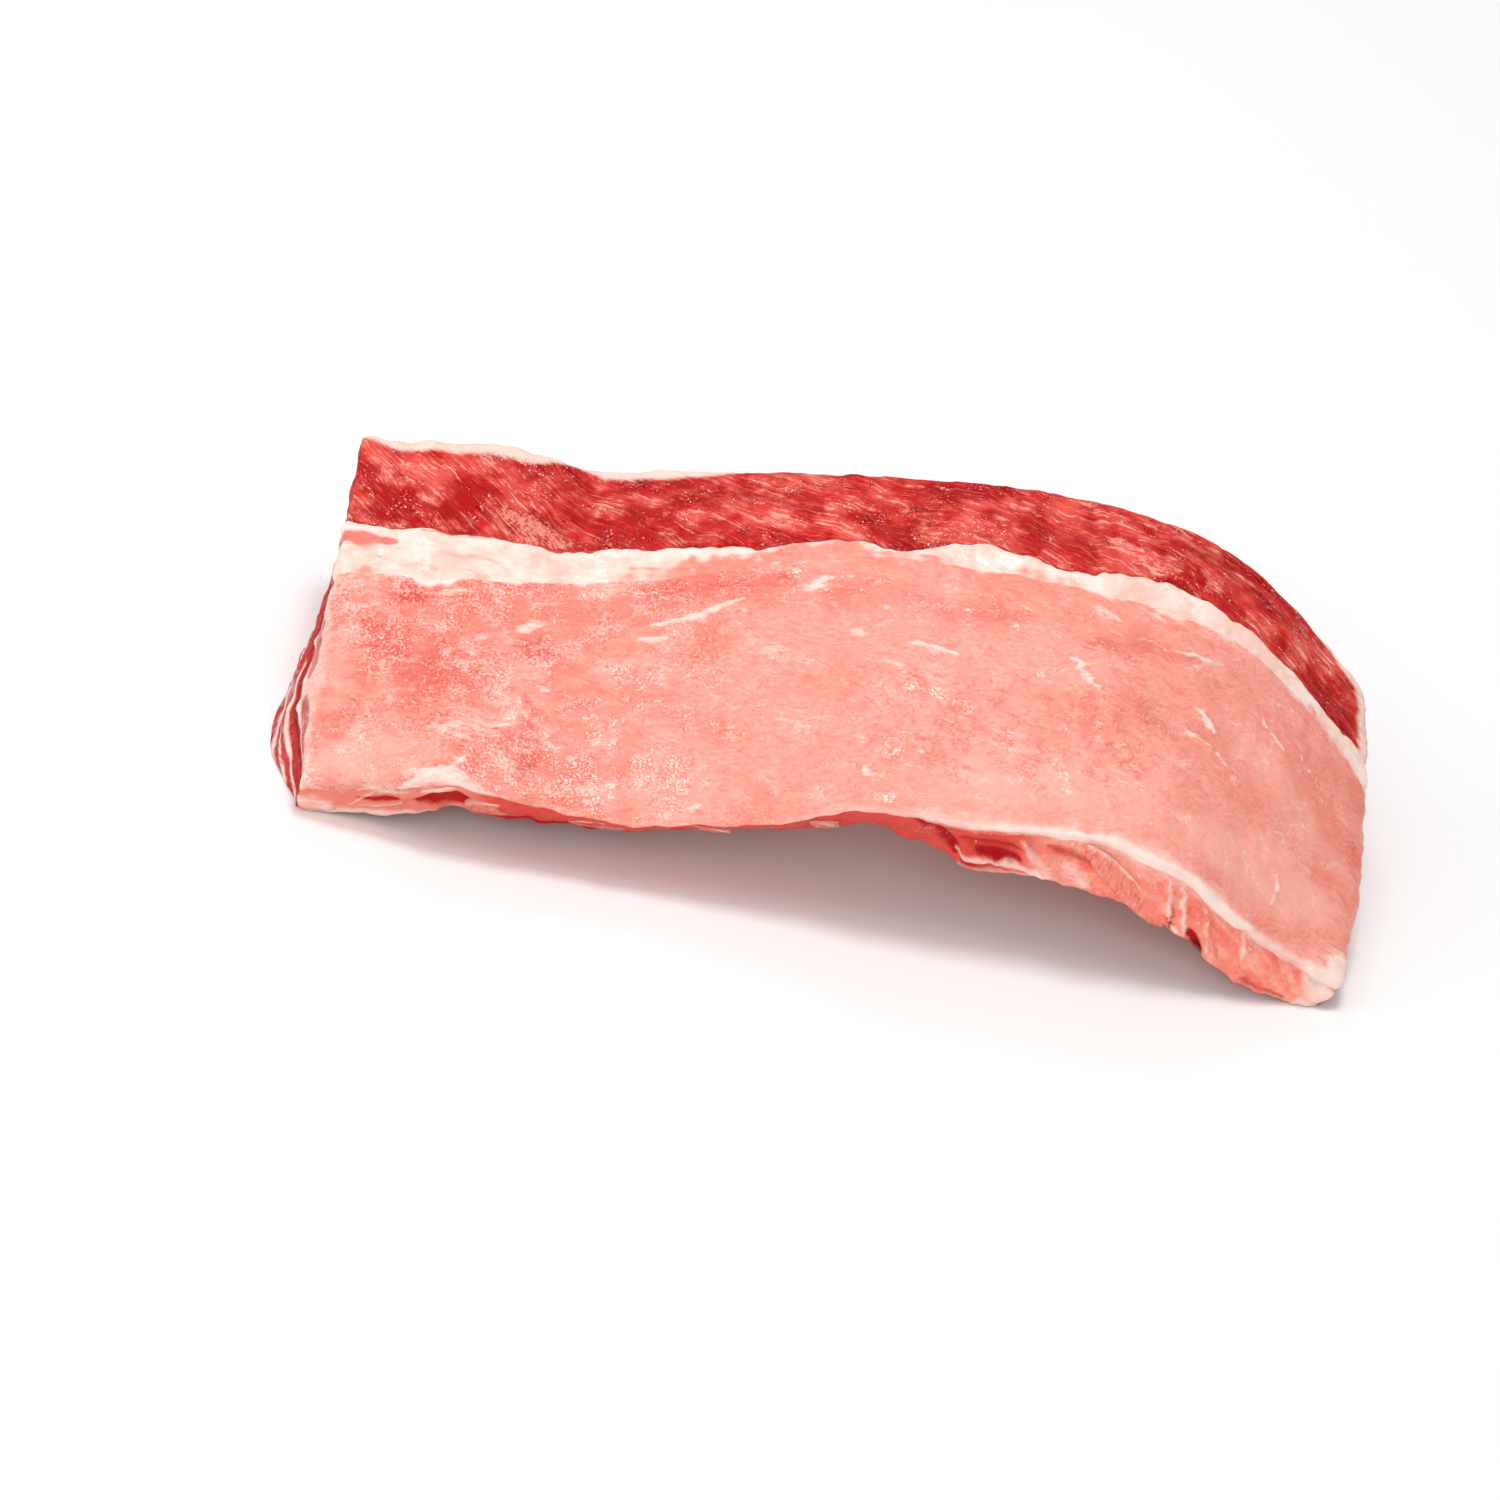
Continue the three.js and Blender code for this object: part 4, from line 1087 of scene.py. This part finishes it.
class Growth(Nodes):
    """A geometry tree with named inputs."""

    def __init__(self, name, inputs):
        super().__init__(bpy.data.node_groups.new(name, "GeometryNodeTree"))
        self.add("Geometry", "Geometry", "INPUT")
        self.ids = {key: self.add(key, kind, "INPUT").identifier for key, kind in inputs.items()}
        self.add("Geometry", "Geometry", "OUTPUT")
        self.given = self.tree.nodes.new("NodeGroupInput")
        self.result = self.tree.nodes.new("NodeGroupOutput")

    def add(self, key, kind, way):
        return self.tree.interface.new_socket(key, in_out=way, socket_type=f"NodeSocket{kind}")

    def __getitem__(self, key):
        return Tone(self, self.given.outputs[key])


def strip_tree():
    pairs = [f"{end} {what}" for what in ("Width", "Height", "Tilt") for end in ("Front", "Back")]
    floats = {key: "Float" for key in (*pairs, "Lean", "Unevenness")}
    g = Growth("flat_strip", {"Up": "Vector", **floats, "Seed": "Int", "Finish": "Material"})
    rings, rows, around = 5, 40, 40
    last = rows + 2 * rings - 1
    grid = g.node("GeometryNodeMeshGrid", {}, {"Vertices X": last + 1, "Vertices Y": around + 1})
    index = g.node("GeometryNodeInputIndex", {}, {})
    row = g.math("FLOOR", (index + 0.5) / (around + 1))
    turn = g.math("FLOORED_MODULO", index, around + 1) * (2 * math.pi / around)
    share = g.node("ShaderNodeMapRange", {}, {"Value": row, "From Min": rings, "From Max": rings + rows - 1})
    inwards = (row / rings).below((last - row) / rings)
    rim = inwards.below(1.0)
    # The width and the tilt change near the sawn end, the height all along, and the lean fades in the first eighth
    width, height, tilt = (
        g.node("ShaderNodeMapRange", {}, {"Value": share, "From Max": full, "To Min": g[f"Front {what}"],
                                          "To Max": g[f"Back {what}"]})
        for what, full in (("Width", 0.12), ("Height", 1.0), ("Tilt", 0.12)))
    across, up = g.math("COSINE", turn) * rim * (width * 0.5), g.math("SINE", turn) * rim * (height * 0.5)
    cosine, sine = g.math("COSINE", tilt), g.math("SINE", tilt)
    sideways, upwards = across * cosine - up * sine, across * sine + up * cosine
    ahead = upwards * g["Lean"] * (1 - (share * 8.0).below(1.0))

    def sample(what):
        return g.node("GeometryNodeSampleCurve", {"mode": "FACTOR"}, {"Curves": g["Geometry"], "Factor": share}, what)

    spot, tangent = sample("Position"), sample("Tangent")
    side = g.vector("NORMALIZE", {0: g.vector("CROSS_PRODUCT", {0: tangent, 1: g["Up"]})})
    top = g.vector("CROSS_PRODUCT", {0: side, 1: tangent})
    spot = spot.moved(side.times(sideways)).moved(top.times(upwards)).moved(tangent.times(ahead))
    noise = g.node("ShaderNodeTexNoise", {"noise_dimensions": "4D"},
                   {"Vector": spot, "W": g["Seed"], "Scale": 260.0, "Detail": 3.0}, "Color")
    spot = spot.moved(noise.moved((-0.5, -0.5, -0.5)).times(g["Unevenness"]))
    shaped = g.node("GeometryNodeSetPosition", {}, {"Geometry": grid, "Position": spot})
    ends = 1 - g.math("GREATER_THAN", inwards, 1.01)
    for name, value in (("rim", rim), ("sawn", ends), ("upper", g.math("SINE", turn))):
        shaped = g.node("GeometryNodeStoreNamedAttribute", {"data_type": "FLOAT", "domain": "POINT"},
                        {"Geometry": shaped, "Name": name, "Value": value})
    shaped = g.node("GeometryNodeMergeByDistance", {}, {"Geometry": shaped, "Distance": 0.02 * MM})
    for kind in ("SetShadeSmooth", "RealizeInstances"):
        shaped = g.node(f"GeometryNode{kind}", {}, {"Geometry": shaped})
    shaped = g.node("GeometryNodeSetMaterial", {}, {"Geometry": shaped, "Material": g["Finish"]})
    g.put(g.result.inputs[0], shaped)
    return g


def path_object(name, points):
    curve = bpy.data.curves.new(name, "CURVE")
    curve.dimensions = "3D"
    line = curve.splines.new("POLY")
    line.points.add(len(points) - 1)
    for spot, point in zip(line.points, points):
        spot.co = (*(np.asarray(point) * MM), 1)
    holder = bpy.data.objects.new(name, curve)
    bpy.context.collection.objects.link(holder)
    return holder


def grown(name, holder, nodes, values):
    """The mesh that a node tree makes from a path, as a plain object."""
    modifier = holder.modifiers.new("grow", "NODES")
    modifier.node_group = nodes.tree
    for key, value in values.items():
        modifier[nodes.ids[key]] = value
    bpy.context.view_layer.update()
    ready = holder.evaluated_get(bpy.context.evaluated_depsgraph_get())
    mesh = bpy.data.meshes.new_from_object(ready)
    mesh.name = name
    bpy.data.objects.remove(holder)
    piece = bpy.data.objects.new(name, mesh)
    bpy.context.collection.objects.link(piece)
    return piece


# How far each sawn rib end stands proud of the face; those below 0 are covered by a film of meat
EXPOSED = [-5.0, 0.3, 0.3, 0.4, 0.3, -6.0, -6.0, 1.0, -6.0, -5.0]
RIB_WIDTH, FRONT_HEIGHT, BACK_HEIGHT, BONE_ROUGH = 15, 6.6, 9.0, 0.8
PATH_POINTS, PAST_FOOT = 60, 2.6
# One rib is sawn at a slant, so its end is wider, rolled and a little raised
SLANTED, SLANT_WIDTH, SLANT_ROLL, SLANT_RAISE = 7, 34, -0.46, 2.0


def rib_path(x, proud, raised):
    """The middle line of a rib from its sawn end to the back, and the lean of the sawn face there."""
    t = np.linspace(0, 1, PATH_POINTS)
    spot = bone_side(np.full(PATH_POINTS, x), t)
    half = (FRONT_HEIGHT + (BACK_HEIGHT - FRONT_HEIGHT) * t) / 2
    spot[:, 1] = np.maximum(spot[:, 1], 0) + 1.1 + 1.7 * np.sin(np.pi * t) + half + raised * (1 - t) ** 6
    lip, cut, foot = (guide(name, np.array([x]))[0] for name in ("lip", "cut", "foot"))
    lean = cut[0] / cut[1]
    y = np.linspace(lip[0] + (spot[0, 1] - lip[1]) * lean - proud, foot[0] + PAST_FOOT, PATH_POINTS)
    return place(np.full(PATH_POINTS, x), np.column_stack([y, np.interp(y, spot[:, 0], spot[:, 1])])), lean


def side_tilt(x):
    """The tilt along X of the bone side under a rib."""
    reach, at = 14, 0.3
    low, high = bone_side(np.array([x - reach, x + reach]), np.array([at, at]))[:, 1]
    return math.atan((high - low) / (2 * reach))


strip = strip_tree()
for k in range(RIB_COUNT):
    x = FIRST_RIB + k * RIB_PITCH
    width, roll, raised = (SLANT_WIDTH, SLANT_ROLL, SLANT_RAISE) if k == SLANTED else (RIB_WIDTH, 0, 0)
    path, lean = rib_path(x, EXPOSED[k], raised)
    name = f"rib_bone_{k + 1:02d}"
    piece = grown(f"sawn_{name}", path_object(f"path_{name}", path), strip, {
        "Up": (0, 0, 1), "Front Width": width * MM, "Back Width": RIB_WIDTH * MM,
        "Front Height": FRONT_HEIGHT * MM, "Back Height": BACK_HEIGHT * MM,
        "Front Tilt": side_tilt(x) + roll, "Back Tilt": side_tilt(x), "Lean": lean,
        "Unevenness": BONE_ROUGH * MM, "Seed": k, "Finish": BONE})
    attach(piece, "root")
    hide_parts(name)


# Floor, light and camera

FLOOR_HALF, FLOOR_Z, PALE_FLOOR = 3, -0.0003, (0.9, 0.9, 0.895)


def floor_plane():
    mesh = bpy.data.meshes.new("floor")
    corners = [(-1, -1), (1, -1), (1, 1), (-1, 1)]
    mesh.from_pydata([(FLOOR_HALF * x, FLOOR_HALF * y, FLOOR_Z) for x, y in corners], [], [(0, 1, 2, 3)])
    mesh.materials.append(Finish("pale_floor").shade(Base_Color=PALE_FLOOR, Roughness=0.75))
    plane = bpy.data.objects.new("floor", mesh)
    bpy.context.collection.objects.link(plane)
    return plane


floor_plane()


def soft_light(name, place_at, size, power, shine=True):
    lamp = bpy.data.lights.new(name, "AREA")
    lamp.shape, lamp.size, lamp.energy = "SQUARE", size, power
    holder = bpy.data.objects.new(name, lamp)
    holder.location = place_at
    holder.rotation_euler = (-Vector(place_at)).to_track_quat("-Z", "Y").to_euler()
    holder.visible_glossy = shine
    bpy.context.collection.objects.link(holder)


soft_light("overhead", (0.0, 0.1, 1.5), 0.4, 7.5)
soft_light("overhead_soft", (0.0, -0.1, 1.6), 0.9, 4.5, shine=False)
soft_light("rear_spark", (-0.2, 1.05, 1.05), 0.22, 2.0)
soft_light("fill", (-0.3, -1.6, 0.8), 1.4, 12, shine=False)
soft_light("left_fill", (-1.5, -0.2, 0.6), 1.0, 7, shine=False)
soft_light("back_fill", (0.5, 1.6, 0.6), 1.2, 5, shine=False)
world = bpy.data.worlds.new("studio")
world.use_nodes = True
background = world.node_tree.nodes["Background"]
background.inputs["Color"].default_value = (1, 1, 1, 1)
background.inputs["Strength"].default_value = 0.4
world.cycles_visibility.glossy = False
bpy.context.scene.world = world
bpy.context.scene.view_settings.view_transform = "Standard"

# The camera looks down at the photo's angle, rolled as far as the rack was turned to rest on both ends
VIEW_UP, VIEW_ROLL = math.radians(32.5), math.radians(11.0)
right = Vector((math.cos(VIEW_ROLL), 0, math.sin(VIEW_ROLL)))
down = math.sin(VIEW_UP)
forward = Vector((down * math.sin(VIEW_ROLL), math.cos(VIEW_UP), -down * math.cos(VIEW_ROLL)))
camera_data = bpy.data.cameras.new("camera")
camera_data.sensor_width, camera_data.lens = 36, 132.7
camera = bpy.data.objects.new("camera", camera_data)
camera.matrix_world = Matrix((right, right.cross(forward), -forward)).transposed().to_4x4()
camera.location = (-0.1749, -1.2697, 0.8032)
bpy.context.collection.objects.link(camera)
bpy.context.scene.camera = camera
